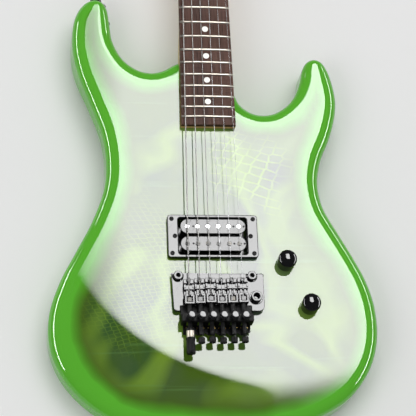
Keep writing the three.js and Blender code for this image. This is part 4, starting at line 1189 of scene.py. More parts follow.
# ---- Neck
def bezier(points: list[Pair], steps: int = 14) -> np.ndarray:
    """Samples a cubic Bezier curve of four points, without its last point."""
    t = np.linspace(0, 1, steps, endpoint=False)[:, None]
    a, b, c, d = (np.array(p, dtype=float) for p in points)
    return (1 - t) ** 3 * a + 3 * t * (1 - t) ** 2 * b + 3 * t**2 * (1 - t) * c + t**3 * d


@dataclass
class Neck:
    """Maple neck and head, rosewood fretboard, frets and position dots."""

    work: Workshop
    strung: Strung
    board_top: float = 55.5
    board_bottom: float = 49.5
    crown: float = 1.0
    head_face: float = 43.0
    head_back: float = 29.0
    post_pitch: float = 24.5
    first_post: float = 50.0
    post_side: float = 3.2
    dot_radius: float = 3.15

    def __post_init__(self) -> None:
        """Works out the ends of the fretboard and the angle of the row of posts."""
        self.nut_y = self.strung.scale
        self.end = self.strung.heel()
        self.angle = math.atan2(self.strung.nut_spread, self.post_pitch * (STRINGS - 1))

    def post(self, number: int) -> Pair:
        """Returns the place of a tuner's post."""
        return self.strung.x(
            number, self.nut_y) - self.post_side, self.nut_y + self.first_post + number * self.post_pitch

    def head_outline(self) -> np.ndarray:
        """Draws the head: curves up the treble side, the straight edge of the keys and one curve back."""
        along = np.array([math.sin(self.angle), math.cos(self.angle)])
        out = np.array([-along[1], along[0]]) * 12.5
        low = np.array(self.post(0)) + out - 12 * along
        high = np.array(self.post(STRINGS - 1)) + out + 13 * along
        half, y = self.strung.nut_width / 2, self.nut_y
        return np.concatenate(
            [
                [[-half, y - 2], [half, y - 2]],
                bezier([(half, y + 16), (half + 1, y + 40), (half + 17, y + 40), (half + 16, y + 72)]),
                bezier(
                    [(half + 16, y + 72), (half + 15, y + 110), (half + 8, y + 150), (half + 21, y + 198)]),
                bezier([(half + 21, y + 198), (half + 8, y + 192), (high[0] + 8, high[1] + 12), tuple(high)]),
                [high],
                bezier([tuple(low), (low[0] - 3, low[1] - 10), (-half - 4, low[1] - 12), (-half, y + 16)]),
                [[-half, y + 16]]])

    def timber(self) -> None:
        """Makes the neck: superellipse sections from a square heel to a round grip, a ramp and the head."""
        rows = np.concatenate(
            [np.linspace(self.end, 252, 6), np.linspace(255, 292, 14), np.linspace(300, self.nut_y + 18, 40)])
        blend = np.clip((rows - 252) / 36, 0, 1)
        blend = blend**2 * (3 - 2 * blend)
        grip = 16 - 2 * np.clip((rows - 280) / (self.nut_y - 280), 0, 1)
        depth = 19.49 + (grip - 19.49) * blend
        power = 2 / (14 * (2.3 / 14) ** blend)
        a = np.linspace(0, np.pi, 49)
        across = np.sign(np.cos(a)) * np.abs(np.cos(a)) ** power[:, None]
        down = np.abs(np.sin(a)) ** power[:, None]
        width = np.array([self.strung.width(min(y, self.nut_y)) for y in rows])
        ring = np.stack(
            [
                -across * width[:, None] / 2, np.repeat(rows[:, None], 49, 1),
                self.board_bottom - down * depth[:, None]],
            -1)
        shaft = loft(ring[:, ::-1])
        ramp = np.array(
            [
                [self.nut_y, 32], [self.nut_y + 34, 32], [self.nut_y + 34, 43], [self.nut_y + 24, 44.5],
                [self.nut_y + 19, self.board_bottom], [self.nut_y, self.board_bottom]])
        ramp = slab(
            softened(ramp, [0.1, 0.1, 3, 14, 1, 0.1], 10), -self.strung.nut_width / 2,
            self.strung.nut_width / 2, 0.4).shuffled()
        holes = tuple(circle(*self.post(i), 5, 32) for i in range(STRINGS))
        head = slab(self.head_outline(), self.head_back, self.head_face, 1.8, holes, 5)
        self.work.piece("neck_wood", joined(shaft, ramp, head), MAPLE, "guitar", ("neck",), 50)

    def crowned(self, x: np.ndarray, y: np.ndarray | float) -> np.ndarray:
        """Returns the fretboard's level: its crown falls with the square of the way to its edge."""
        half = np.vectorize(self.strung.width)(y) / 2
        return self.board_top - self.crown * (x / half) ** 2

    def board(self) -> None:
        """Makes the crowned board with eased edges, the frets, and the dots on its face and bass side."""
        rows = np.linspace(self.end, self.nut_y - 0.1, 60)
        share = np.linspace(-1, 1, 25)
        half = np.array([self.strung.width(y) / 2 for y in rows])[:, None]
        ease = np.array([-1.0, -1.0, -0.994, *(share[1:-1] * 0.985), 0.994, 1.0, 1.0])
        fall = np.array([0.0, 0.8, 0.15, *np.zeros(23), 0.15, 0.8, 0.0])
        x = ease * half
        z = self.board_top - self.crown * ease**2 - fall
        z[[0, -1]] = self.board_bottom
        ring = np.stack([x, np.repeat(rows[:, None], len(ease), 1), np.broadcast_to(z, x.shape)], -1)
        ring[[0, -1], 1:-1, 2] -= 0.1
        self.work.piece("fretboard_wood", loft(ring), ROSEWOOD, "guitar", ("fretboard",), 35)
        wires, a = [], np.linspace(0, np.pi, 11)
        for number in range(1, self.strung.frets + 1):
            y = self.strung.fret(number)
            half = self.strung.width(y) / 2 - 0.3
            t = np.linspace(-1, 1, 21)
            tip = np.sqrt(np.clip(1 - np.abs(t) ** 24, 0.02, 1))[:, None]
            ring = np.stack(
                [
                    np.repeat(t[:, None] * half, 11, 1), y - 1.3 * np.cos(a)[None] * np.ones((21, 1)),
                    self.crowned(t * half, y)[:, None] - 0.1 + 1.1 * np.sin(a)[None] ** 0.8 * tip],
                -1)
            wires.append(loft(ring[:, ::-1]))
        self.work.piece("frets", joined(*wires), FRET_NICKEL)
        dots = []
        for number in (3, 5, 7, 9, 12, 15, 17, 19, 21):
            y = (self.strung.fret(number) + self.strung.fret(number - 1)) / 2
            places = (-11.5, 11.5) if number == 12 else (0.0,)
            dots += [
                slab(
                    circle(x, y, self.dot_radius, 40), self.board_top - 1, float(self.crowned(x, y)) + 0.02,
                    0.05)
                for x in places]
            side = cylinder(1.0, -0.6, 0.03, 20).turned("Y", -90)
            dots += [
                side.moved(-self.strung.width(y) / 2, y + off, self.board_top - 3.4)
                for off in ((-3.0, 3.0) if number == 12 else (0.0,))]
        self.work.piece("position_dots", joined(*dots), INLAY)

    def build(self) -> None:
        """Makes every piece of the neck."""
        self.timber()
        self.board()


# ---- Nut, tuners and strings
@dataclass
class Headstock:
    """Locking nut, string bar, and six tuners with their keys on the bass side."""

    work: Workshop
    strung: Strung
    neck: Neck
    nut_depth: float = 16.0
    string_z: float = 57.5
    worm_y: float = 6.4
    worm_z: float = -5.2

    def nut(self) -> None:
        """Makes the nut's base with its lands, three clamps and their bolts, and the string bar."""
        y, z = self.neck.nut_y, self.string_z
        base = [(-21.3, 49.5), (21.3, 49.5), (21.3, 56.0), (-21.3, 56.0)]
        lower = slab(softened(base, [0.3, 0.3, 1.5, 1.5]), -y - self.nut_depth, -y, 0.5).turned("X", 90)
        clamp_xs = (-14.24, 0.0, 14.24)
        lands = [
            rounded_block((x - 5.2, x + 5.2), (y + 0.6, y + 15.2), (55.9, 56.65), 0.6, 0.3) for x in clamp_xs]
        self.work.piece("nut_base", joined(lower, *lands), BLACK_METAL, nodes=("locking_nut",))
        clamps, bolts = [], []
        for x in clamp_xs:
            clamps.append(
                slab(
                    panel(x - 6.2, x + 6.2, y + 1.5, y + 14, 1.6, 5), z + 0.85, z + 5.05, 0.9,
                    (circle(x, y + 7.7, 3.6, 28),), 4))
            bolts.append(screw(3.3, 3.4, Drive.HEX, 2.1, 6.0, 0.4).moved(x, y + 7.7, z + 3.4))
        self.work.piece("nut_clamps", joined(*clamps), BLACK_METAL)
        self.work.piece("nut_bolts", joined(*bolts), DULL_METAL)
        end = [(0, -20.5), (1.6, -20.3), (2.1, -19.6), (2.1, 19.6), (1.6, 20.3), (0, 20.5)]
        rail = turned_shape(end, 20).turned("Y", 90).moved(0, y + 27, 57.0)
        legs = [screw(2.6, 2.0, Drive.CROSS, 1.5, 15.5, 0.9).moved(x, y + 27, 58.6) for x in (-19.2, 19.2)]
        self.work.piece("string_bar", joined(rail, *legs), BLACK_METAL)

    def placed(self, skin: Skin, number: int) -> Skin:
        """Moves a piece from a tuner's own frame to its place on the head."""
        x, y = self.neck.post(number)
        return skin.turned("Z", -math.degrees(self.neck.angle)).moved(x, y, self.neck.head_back)

    def tuner(self, number: int) -> None:
        """Makes one tuner: a sealed housing, a bushing with a hex nut, a waisted post and a key."""
        plan = panel(-11, 7, -7.5, 10.5, 3.2, 6)
        case = [
            slab(plan, -11, -3.6, 0.3, (), 2, 1.6), slab(plan, -3.6, -0.3, 0.3, (circle(0, 0, 3.5, 28),), 2)]
        case += [turned_shape([(0, -11.8), (3.2, -11.8), (4.2, -10.9), (0, -10.9)], 28).moved(0, 0.6)]
        case += [screw(1.9, 1.2, Drive.CROSS, 1.0, 8, 0.5).turned("X", 180).moved(3.6, -4.6, -10.9)]
        case += [
            turned_shape(
                [(1.95, 0), (3.7, 0), (3.7, 1.4), (3.0, 1.9), (1.95, 1.9)], 24
            ).turned("Y", -90).moved(-10.9, self.worm_y, self.worm_z)]
        label = str(number + 1)
        self.work.piece(
            f"tuner_case_{label}", self.placed(joined(*case), number), BLACK_METAL, "guitar",
            (f"tuner_housing_{label}",), 35)
        ring = turned_shape([(3.3, 14), (7.2, 14), (7.2, 14.5), (6.8, 14.9), (3.3, 14.9)], 40)
        nut = slab(circle(0, 0, 5.9, 6), 14.85, 17.3, 0.5, (circle(0, 0, 3.3, 28),), 3)
        self.work.piece(
            f"tuner_bushing_{label}", self.placed(joined(ring, nut), number), BLACK_METAL, "guitar", (), 35)
        post = turned_shape(
            [
                (0, -3.4), (2.9, -3.4), (2.9, 18.2), (2.6, 19.0), (2.2, 19.8), (2.2, 25.2), (2.6, 26.2),
                (2.95, 26.8), (2.95, 31.0), (2.6, 31.7), (1.9, 32.0), (1.1, 31.8), (0, 31.3)],
            28)
        self.work.piece(
            f"tuner_string_post_{label}", self.placed(post, number), BLACK_METAL, f"tuner_post_{label}",
            (f"tuner_post_{label}",), 50)
        stem = turned_shape(
            [
                (0, -20), (1.8, -20), (1.8, -13), (3.3, -12.7), (3.3, -11.9), (2.2, -11.4), (1.85, -11.2),
                (1.85, -9), (0, -9)],
            24).turned("Y", 90)
        paddle = slab(
            softened(
                np.array(
                    [
                        [-35.5, -7.6], [-27, -9.0], [-20.4, -5.2], [-19.5, 0], [-20.4, 5.2], [-27, 9.0],
                        [-35.5, 7.6]]),
                [6, 7, 5, 3, 5, 7, 6], 8),
            -3.2, 3.2, 2.9, (), 6)
        button = screw(1.6, 0.7, Drive.CROSS, 0.8, 3, 0.3).turned("Y", -90).moved(-35.3)
        key = joined(stem, paddle, button).moved(0, self.worm_y, self.worm_z)
        self.work.piece(
            f"tuner_button_{label}", self.placed(key, number), BLACK_METAL, f"tuner_key_{label}",
            (f"tuner_key_{label}",))

    def string(self, number: int, setback: float) -> None:
        """Strings one string: out of its lock block, over saddle, frets and nut, and round its post."""
        radius, y1 = self.strung.radii[number], self.neck.nut_y
        low = self.strung.x(number, 0)
        start = [
            (low, -13.0 - setback, 58.6), (low, -10.5 - setback, 58.75), (low, -7.2 - setback, 59.35),
            (low, -5.4 - setback, 59.85), (low, -3.8 - setback, 59.98)]
        along = np.concatenate([np.linspace(-1.5 - setback, y1, 40), [y1 + 8, y1 + 15]])
        level = 60 - 2.5 * np.minimum(along / y1, 1)
        free = np.column_stack([[self.strung.x(number, min(y, y1)) for y in along], along, level])
        px, py = self.neck.post(number)
        wrap = 2.22 + radius
        nut_x = self.strung.x(number, y1)
        bent = [
            (nut_x, y1 + 20, 56.4), (nut_x, y1 + 25, 54.9), (nut_x, y1 + 27, 54.6), (nut_x, y1 + 30, 54.3)]
        a = np.linspace(0, 2 * np.pi * 3.6, 90)
        turns = np.column_stack(
            [px + wrap * np.cos(a), py + wrap * np.sin(a), 52.4 - a / (2 * np.pi) * (2 * radius + 0.08)])
        gap = np.linspace(0, 1, 8)[1:-1, None]
        lead = (1 - gap) * np.array(bent[-1]) + gap * (turns[0] - [0, 2.0, -0.1])
        path = np.concatenate([start, free, bent, lead, turns])
        finish = WOUND if radius > 0.3 else STEEL
        label = f"string_{number + 1}"
        wire = self.work.piece(
            f"{label}_wire", bar(path, radius, 10, (0.02, -0.04, 1)), finish, "", (label,), 60, False)
        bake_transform(wire, "tremolo", "guitar", start=(low * 0.001, 0.006, 0.06), end=(low * 0.001, 0.12, 0.06))

    def build(self, setbacks: tuple[float, ...]) -> None:
        """Makes the nut, the tuners and the strings."""
        self.nut()
        for number in range(STRINGS):
            self.tuner(number)
            self.string(number, setbacks[number])


# ---- Tremolo
@dataclass
class Tremolo:
    """Floating double-locking bridge with its studs, block, springs and claw."""

    work: Workshop
    strung: Strung
    low: float = 50.5
    high: float = 53.5
    lock_z: float = 58.5
    riser: Pair = (-40.0, -31.0)
    riser_low: float = 61.5
    riser_high: float = 66.0
    riser_half: float = 35.5
    setbacks: tuple[float, ...] = (1.6, 0.9, 0.2, 0.9, 0.3, 0.0)
    pivot_y: float = 10.0
    stud_x: float = 37.0
    socket: Pair = (40.5, -12.0)

    def plate(self) -> None:
        """Makes the plate, notched at the studs, its comb, the bar over the comb and the arm's socket."""
        bow = np.linspace(0, -np.pi, 13)
        notch = np.column_stack([5.3 * np.cos(bow), self.pivot_y + 5.3 * np.sin(bow)])
        xs = [self.strung.x(i, 0) for i in range(STRINGS)]
        back, front = self.riser
        comb = [
            p for x in xs
            for p in ((x - 3.2, back), (x - 3.2, front - 0.2), (x + 3.2, front - 0.2), (x + 3.2, back))]
        half, step = self.riser_half, -20.5
        tail = [(-half, step), (-half, back), *comb, (half, back), (half, step)]
        tail_sheet = slab(
            softened(tail, [0.2, 1.5, *([0.6] * len(comb)), 1.5, 0.2], 5), self.low, self.high - 0.3, 0.3)
        sides = [
            (-43.5, 13), (-42.0, -26), (-half - 0.1, -26), (-half - 0.1, step + 0.1),
            (half + 0.1, step + 0.1), (half + 0.1, -26), (49, -26), (49, 13)]
        radii = [1.2, 6, 1, 0.6, 0.6, 1, 6, 1.2]
        rim = softened(sides, radii, 6)
        turn = np.argmax(rim[:, 0] + rim[:, 1] * 3)
        rim = np.roll(rim, -turn - 1, 0)
        front_edge = [
            notch + [self.stud_x, 0],
            [
                [self.stud_x - 5.3, 12.4], [self.stud_x - 5.9, 13], [5.9 - self.stud_x, 13],
                [5.3 - self.stud_x, 12.4]],
            notch - [self.stud_x, 0], [[-self.stud_x - 5.3, 12.4], [-self.stud_x - 5.9, 13]]]
        mouth = [[self.stud_x + 5.9, 13], [self.stud_x + 5.3, 12.4]]
        outline = np.concatenate([rim, mouth, *front_edge])
        base = slab(outline, self.low, self.high, 0.55, (), 3)
        holes = tuple(circle(x, sum(self.riser) / 2, 2.2, 20) for x in xs)
        top = slab(panel(-half, half, back, front, 1.2, 4), self.riser_low, self.riser_high, 0.8, holes, 3)
        edges = [-half, *[v for x in xs for v in (x - 3.2, x + 3.2)], half]
        teeth = [
            rounded_block(
                (edges[k], edges[k + 1]), (back + 0.1, front), (self.low + 0.1, self.riser_low + 0.5), 0.5,
                0.1)
            for k in range(0, len(edges), 2)]
        x, y = self.socket
        collar = turned_shape(
            [
                (0, 48.5), (5.4, 48.5), (5.4, 55.4), (4.9, 55.8), (4.9, 56.4), (5.4, 56.8), (5.4, 59.4),
                (4.9, 60), (3.6, 60), (3.0, 59.4), (3.0, 50.5), (0, 50.5)],
            40).moved(x, y)
        flange = turned_shape(
            [(5.2, 53.4), (7.0, 53.4), (7.0, 54.0), (6.6, 54.5), (5.2, 54.5)], 40).moved(x, y)
        self.work.piece("bridge_plate", base, BLACK_METAL, "tremolo", ("tremolo_plate",), 35)
        self.work.piece("bridge_tail", joined(tail_sheet, top, *teeth), BLACK_OXIDE, "tremolo", (), 35)
        self.work.piece("arm_collar", joined(collar, flange), BLACK_METAL, "tremolo", (), 35)
        cups = [
            screw(2.6, 1.4, Drive.HEX, 1.8, 3, 0.5).moved(sx, -21.5, self.high - 0.6) for sx in (-5.4, 5.4)]
        self.work.piece("block_screws", joined(*cups), DULL_METAL, "tremolo")
        apron = [(-half + 2, -39.8), (-half + 2, -49.5)]
        for x in xs:
            apron += [(x - 3.6, -49.5), (x - 3.6, -50.2), (x + 3.6, -50.2), (x + 3.6, -47.5)]
        apron += [(half - 2, -47.5), (half - 2, -39.8)]
        self.work.piece(
            "tail_apron", slab(np.array(apron, dtype=float), 50.6, 51.5, 0.15), BLACK_OXIDE, "tremolo", (), 35
        )
        pin = turned_shape([(0, 51.4), (0.8, 51.4), (0.8, 53.4), (0.6, 53.7), (0, 53.7)], 16)
        pins = [pin.moved(x + side, -42.9) for x in xs for side in (-3.3, 3.3)]
        self.work.piece("apron_pins", joined(*pins), BRASS, "tremolo")

    def saddle(self, number: int) -> None:
        """Makes a saddle: a rounded cheek, a waist, and a rear frame that holds the lock block."""
        x, back = self.strung.x(number, 0), self.setbacks[number]
        side = np.array(
            [
                [8, 53.8], [8, 56.4], [3.4, 56.8], [0.6, 59.35], [-4.4, 59.35], [-5.2, 56.6], [-19.5, 56.5],
                [-19.5, 55.2], [0, 53.8]])
        round_by = [0.4, 0.8, 1.5, 1.4, 1.2, 0.3, 0.4, 0.4, 1]
        cheek = slab(softened(side, round_by, 5), -4.95, 4.95, 0.35).shuffled()
        ear = np.array([[3.2, 56.7], [1.2, 58.6], [-2.4, 58.9], [-2.4, 56.6]])
        steps = [
            slab(softened(ear, 0.4, 3), s * 4.1 - 0.9, s * 4.1 + 0.9, 0.2).shuffled().moved(0, 0, 1.2)
            for s in (-1, 1)]
        waist = [
            rounded_block((a, b), (-10, -4.6), (56.3, 58.7), 0.3, 0.25)
            for a, b in ((-3.0, -0.95), (0.95, 3.0))]
        keyhole = np.array(
            [
                [-4.95, -19.5], [4.95, -19.5], [4.95, -9.6], [1.1, -9.6], [1.1, -12.0], [2.8, -12.0],
                [2.8, -17.4], [-2.8, -17.4], [-2.8, -12.0], [-1.1, -12.0], [-1.1, -9.6], [-4.95, -9.6]])
        frame_top = slab(
            softened(keyhole, [0.8, 0.8, 0.8, 0.3, 0.3, 0.4, 0.4, 0.4, 0.4, 0.3, 0.3, 0.8], 3), 56.4, 62.9,
            0.45)
        bolt = screw(2.3, 1.9, Drive.HEX, 1.5, 3.5, 0.35).moved(0, 5.7 - back * 0.4, 56.5)
        label = str(number + 1)
        body = "saddle_" + label
        parts = joined(cheek, *steps, *waist, frame_top).moved(x, -back)
        self.work.piece(f"saddle_body_{label}", parts, BLACK_METAL, body, (body,), 35)
        self.work.piece(f"saddle_bolt_{label}", bolt.moved(x), DULL_METAL, body)
        block = rounded_block((-2.45, 2.45), (-17.1, -12.3), (56.4, 61.4), 0.5, 0.4).moved(x, -back)
        self.work.piece(f"lock_block_{label}", block, AGED_STEEL if number in (0, 4) else DULL_METAL, body)
        tail = self.riser[0] - back
        if number == 0:
            rod = turned_shape([(0, 0), (2.2, 0), (2.2, 35.5), (1.8, 36), (0, 36)], 24).turned("X", 90)
            rod = rod.moved(x, -19 - back, self.lock_z)
        else:
            rod = joined(
                cylinder(2.2, 0, 31.2, 24).turned("X", 90).moved(x, -19.4 - back, self.lock_z),
                slab(
                    circle(0, 0, 3.4, 36), 2.6, 6.0, 0.7, (circle(0, 0, 1.75, 6),), 3, 0.0
                ).turned("X", 90).moved(x, tail - 13.5, self.lock_z),
                turned_shape(
                    [(0, 0), (3.0, 0), (3.4, 0.5), (3.4, 2.7), (0, 2.7)], 36, 18, 0.12
                ).turned("X", 90).moved(x, tail - 13.5, self.lock_z))
        self.work.piece(f"lock_screw_{label}", rod, BLACK_OXIDE, body)

    def tuner(self, number: int) -> None:
        """Makes a fine tuner: a domed head, fluted round its side, on a shaft with a rounded tip."""
        x, y = self.strung.x(number, 0), sum(self.riser) / 2
        a = np.linspace(0, np.pi / 2, 7)
        dome = [(4.1 * math.cos(v), 72.65 + 0.35 * math.sin(v)) for v in a[:-1]]
        profile = [
            (0, 61.3), (1.2, 61.4), (1.85, 62.0), (1.85, 67.0), (3.9, 67.0), (4.3, 67.5), (4.3, 72.4), *dome]
        depth = [0] * 5 + [0.25, 0.25] + [0] * (len(profile) - 7)
        profile.append((0, 73.0))
        depth.append(0)
        head = turned_shape(profile, 88, 22, np.array(depth, dtype=float)).moved(x, y)
        label = str(number + 1)
        self.work.piece(
            f"fine_tuner_knob_{label}", head, BLACK_METAL, f"fine_tuner_{label}", (f"fine_tuner_{label}",))

    def dropper(self) -> None:
        """Makes the pull sleeve on the first lock screw, with a bare band and a grooved grip."""
        x = self.strung.x(0, 0)
        profile = [
            (0, 13), (2.5, 13), (2.5, 0), (4.2, 0), (4.6, 0.5), (4.6, 2.2), (4.0, 2.6), (4.0, 9.6),
            (4.6, 10.2), (4.6, 11.6), (4.35, 11.9), (4.35, 22.6), (4.6, 22.9), (4.6, 24.6), (3.9, 26), (0, 26)
        ]
        flute = np.array([0.0] * 10 + [0.2, 0.2] + [0.0] * 4)
        sleeve = turned_shape(profile, 96, 24, flute).turned("X", 90).moved(x, -45.1, self.lock_z)
        self.work.piece("drop_sleeve", sleeve, BLACK_OXIDE, "drop_tuner", ("drop_tuner",), 35)
        band = turned_shape(
            [(3.9, 2.9), (4.25, 2.9), (4.25, 9.3), (3.9, 9.3)], 48
        ).turned("X", 90).moved(x, -45.1, self.lock_z)
        self.work.piece("drop_sleeve_band", band, FRET_NICKEL, "drop_tuner")

    def studs(self) -> None:
        """Makes the two pivot studs with a knife-edge groove and a hex socket, in flanged inserts."""
        for name in ("bass", "treble"):
            x, y, _ = centre(f"pivot_stud_{name}")
            stem = turned_shape(
                [
                    (0, 40), (3.7, 40), (3.7, 50.6), (3.2, 51.2), (3.2, 52.6), (3.7, 53.2), (3.7, 54.4),
                    (4.6, 55.0), (4.6, 56.0), (2.4, 56.0), (2.4, 53.5), (0, 52.0)],
                40)
            crown = slab(circle(0, 0, 4.6, 40), 55.9, 58.1, 0.6, (circle(0, 0, 2.1, 6),), 4, 0.0)
            self.work.piece(
                f"pivot_post_{name}", joined(stem, crown).moved(x, y), BLACK_METAL,
                nodes=(f"pivot_stud_{name}",))
            shell = turned_shape(
                [(3.8, 21.5), (4.4, 21.5), (4.4, 46.0), (5.6, 46.05), (5.6, 46.6), (5.2, 46.9), (3.8, 46.9)],
                36)
            self.work.piece(f"pivot_insert_{name}", shell.moved(x, y), BLACK_METAL)

    def underside(self) -> None:
        """Makes the sustain block, the springs and the claw that pulls them."""
        shape = np.array([[-28, 6], [-6, 6], [-6, 20.5], [6, 20.5], [6, 6], [28, 6], [28, 50.5], [-28, 50.5]])
        block = slab(softened(shape, [1.5, 1, 3, 3, 1, 1.5, 1, 1], 5), -7, 5, 0.5).turned("X", 90)
        self.work.piece("inertia_block", block, DULL_METAL, "tremolo", ("sustain_block",))
        for number, x in enumerate((-12.0, 12.0), 1):
            winding = coil(3.85, 0.45, 92.0, 62).moved(x, 11.2, SPRING_Z)
            hook = bar(
                np.array([[x, 7.6, 10.5], [x, 9.5, 10.5], [x + 1.9, 10.6, 10.5], [x + 3.85, 11.2, 10.5]]),
                0.45, 8)
            eye = bar(
                np.array([[x + 3.85, 103.2, 10.5], [x + 2, 104.4, 10.5], [x, 105.2, 10.5], [x, 107.4, 10.5]]),
                0.45, 8)
            piece = self.work.piece(
                f"spring_coil_{number}", joined(winding, hook, eye), STEEL, "", (f"tremolo_spring_{number}",),
                60, False)
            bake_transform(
                piece, "tremolo", "guitar", start=(x * 0.001, 0.0075, 0.0105), end=(x * 0.001, 0.107, 0.0105))
        plan = np.array([[-27, 5.5], [27, 5.5], [27, 15.5], [-27, 15.5]])
        claw = slab(
            softened(plan, 2.5, 5), -111, -108, 0.4, tuple(circle(x, SPRING_Z, 2.3, 20) for x in CLAW_SCREWS)
        ).turned("X", 90)
        hooks = [
            slab(panel(x - 2, x + 2, 6, 9, 0.6, 3), -108.2, -106.6, 0.3).turned("X", 90) for x in (-5, 5)]
        screws = [
            screw(3.6, 2.2, Drive.CROSS, 1.9, 37, 0.8).turned("X", 90).moved(x, 108.0, SPRING_Z)
            for x in CLAW_SCREWS]
        self.work.piece("claw_plate", joined(claw, *hooks), STEEL, nodes=("spring_claw",))
        self.work.piece("claw_screws", joined(*screws), STEEL)

    def build(self) -> None:
        """Makes the whole bridge."""
        self.plate()
        for number in range(STRINGS):
            self.saddle(number)
            self.tuner(number)
        self.dropper()
        self.studs()
        self.underside()


# ---- Pickup, controls and fittings
@dataclass
class Pickup:
    """Humbucking pickup in its mounting ring."""

    work: Workshop
    strung: Strung
    y: float = 53.2
    face: float = 46.0
    ring: Place = (91.3, 45.2, 5.7)
    window: Pair = (35.0, 19.5)
    bobbin: Pair = (66.0, 15.3)
    spacing: float = 18.2
    top: float = 55.0

    def build(self) -> None:
        """Makes the ring with its screws, and two bobbins with their pole pieces on a base plate."""
        width, height, thick = self.ring
        rim = panel(-width / 2, width / 2, self.y - height / 2, self.y + height / 2, 3.2, 8)
        hole = panel(
            -self.window[0], self.window[0], self.y - self.window[1], self.y + self.window[1], 2.5, 6)
        ring = slab(rim, self.face, self.face + thick, 0.8, (hole,), 4, 0.0)
        self.work.piece("pickup_surround", ring, GLOSS_BLACK, nodes=("pickup_ring",))
        places = [(sx * 41.3, sy * 18.2) for sx in (-1, 1) for sy in (-1, 1)] + [(-38.3, 0), (38.3, 0)]
        screws = [
            screw(2.3, 1.0, Drive.CROSS, 1.2, 5, 0.6).moved(x, self.y + y, self.face + thick - 0.15)
            for x, y in places]
        self.work.piece("surround_screws", joined(*screws), BLACK_OXIDE)
        long, wide = self.bobbin
        bobbins, slugs, pins = [], [], []
        for side in (-1, 1):
            y = self.y + side * self.spacing / 2
            xs = [self.strung.x(i, y) for i in range(STRINGS)]
            holes = tuple(circle(x, y, 0.65, 14) for x in (xs[0] + 6.2, xs[4] + 5.1, xs[5] + 5.0))
            plan = panel(-long / 2, long / 2, y - wide / 2, y + wide / 2, wide / 2 - 0.05, 16)
            bobbins.append(slab(plan, self.top - 1.9, self.top, 0.4, holes, 3))
            waist = panel(
                -long / 2 + 2, long / 2 - 2, y - wide / 2 + 1.6, y + wide / 2 - 1.6, wide / 2 - 1.7, 12)
            bobbins.append(slab(waist, 34.5, self.top - 1.8, 0))
            bobbins.append(slab(plan, 33.2, 34.8, 0.3))
            if side > 0:
                slugs += [
                    turned_shape(
                        [(0, 54.0), (2.0, 54.0), (2.0, 55.1), (1.8, 55.3), (0, 55.35)], 28).moved(x, y)
                    for x in xs]
            else:
                pins += [screw(2.4, 0.75, Drive.SLOT, 1.5, 20, 0.3).moved(x, y, self.top - 0.1) for x in xs]
        self.work.piece("bobbins", joined(*bobbins), COIL_BLACK, nodes=("pickup",))
        self.work.piece("pole_slugs", joined(*slugs), POLE_STEEL)
        self.work.piece("pole_screws", joined(*pins), AGED_STEEL)
        base = slab(panel(-34, 34, self.y - 18.5, self.y + 18.5, 3, 5), 30.2, 33.0, 0.3)
        tongues = [
            rounded_block((a, b), (self.y - 6.5, self.y + 6.5), (30.2, 31.6), 2, 0.3)
            for a, b in ((-35.6, -33), (33, 35.6))]
        self.work.piece("pickup_base", joined(base, *tongues), AGED_STEEL)


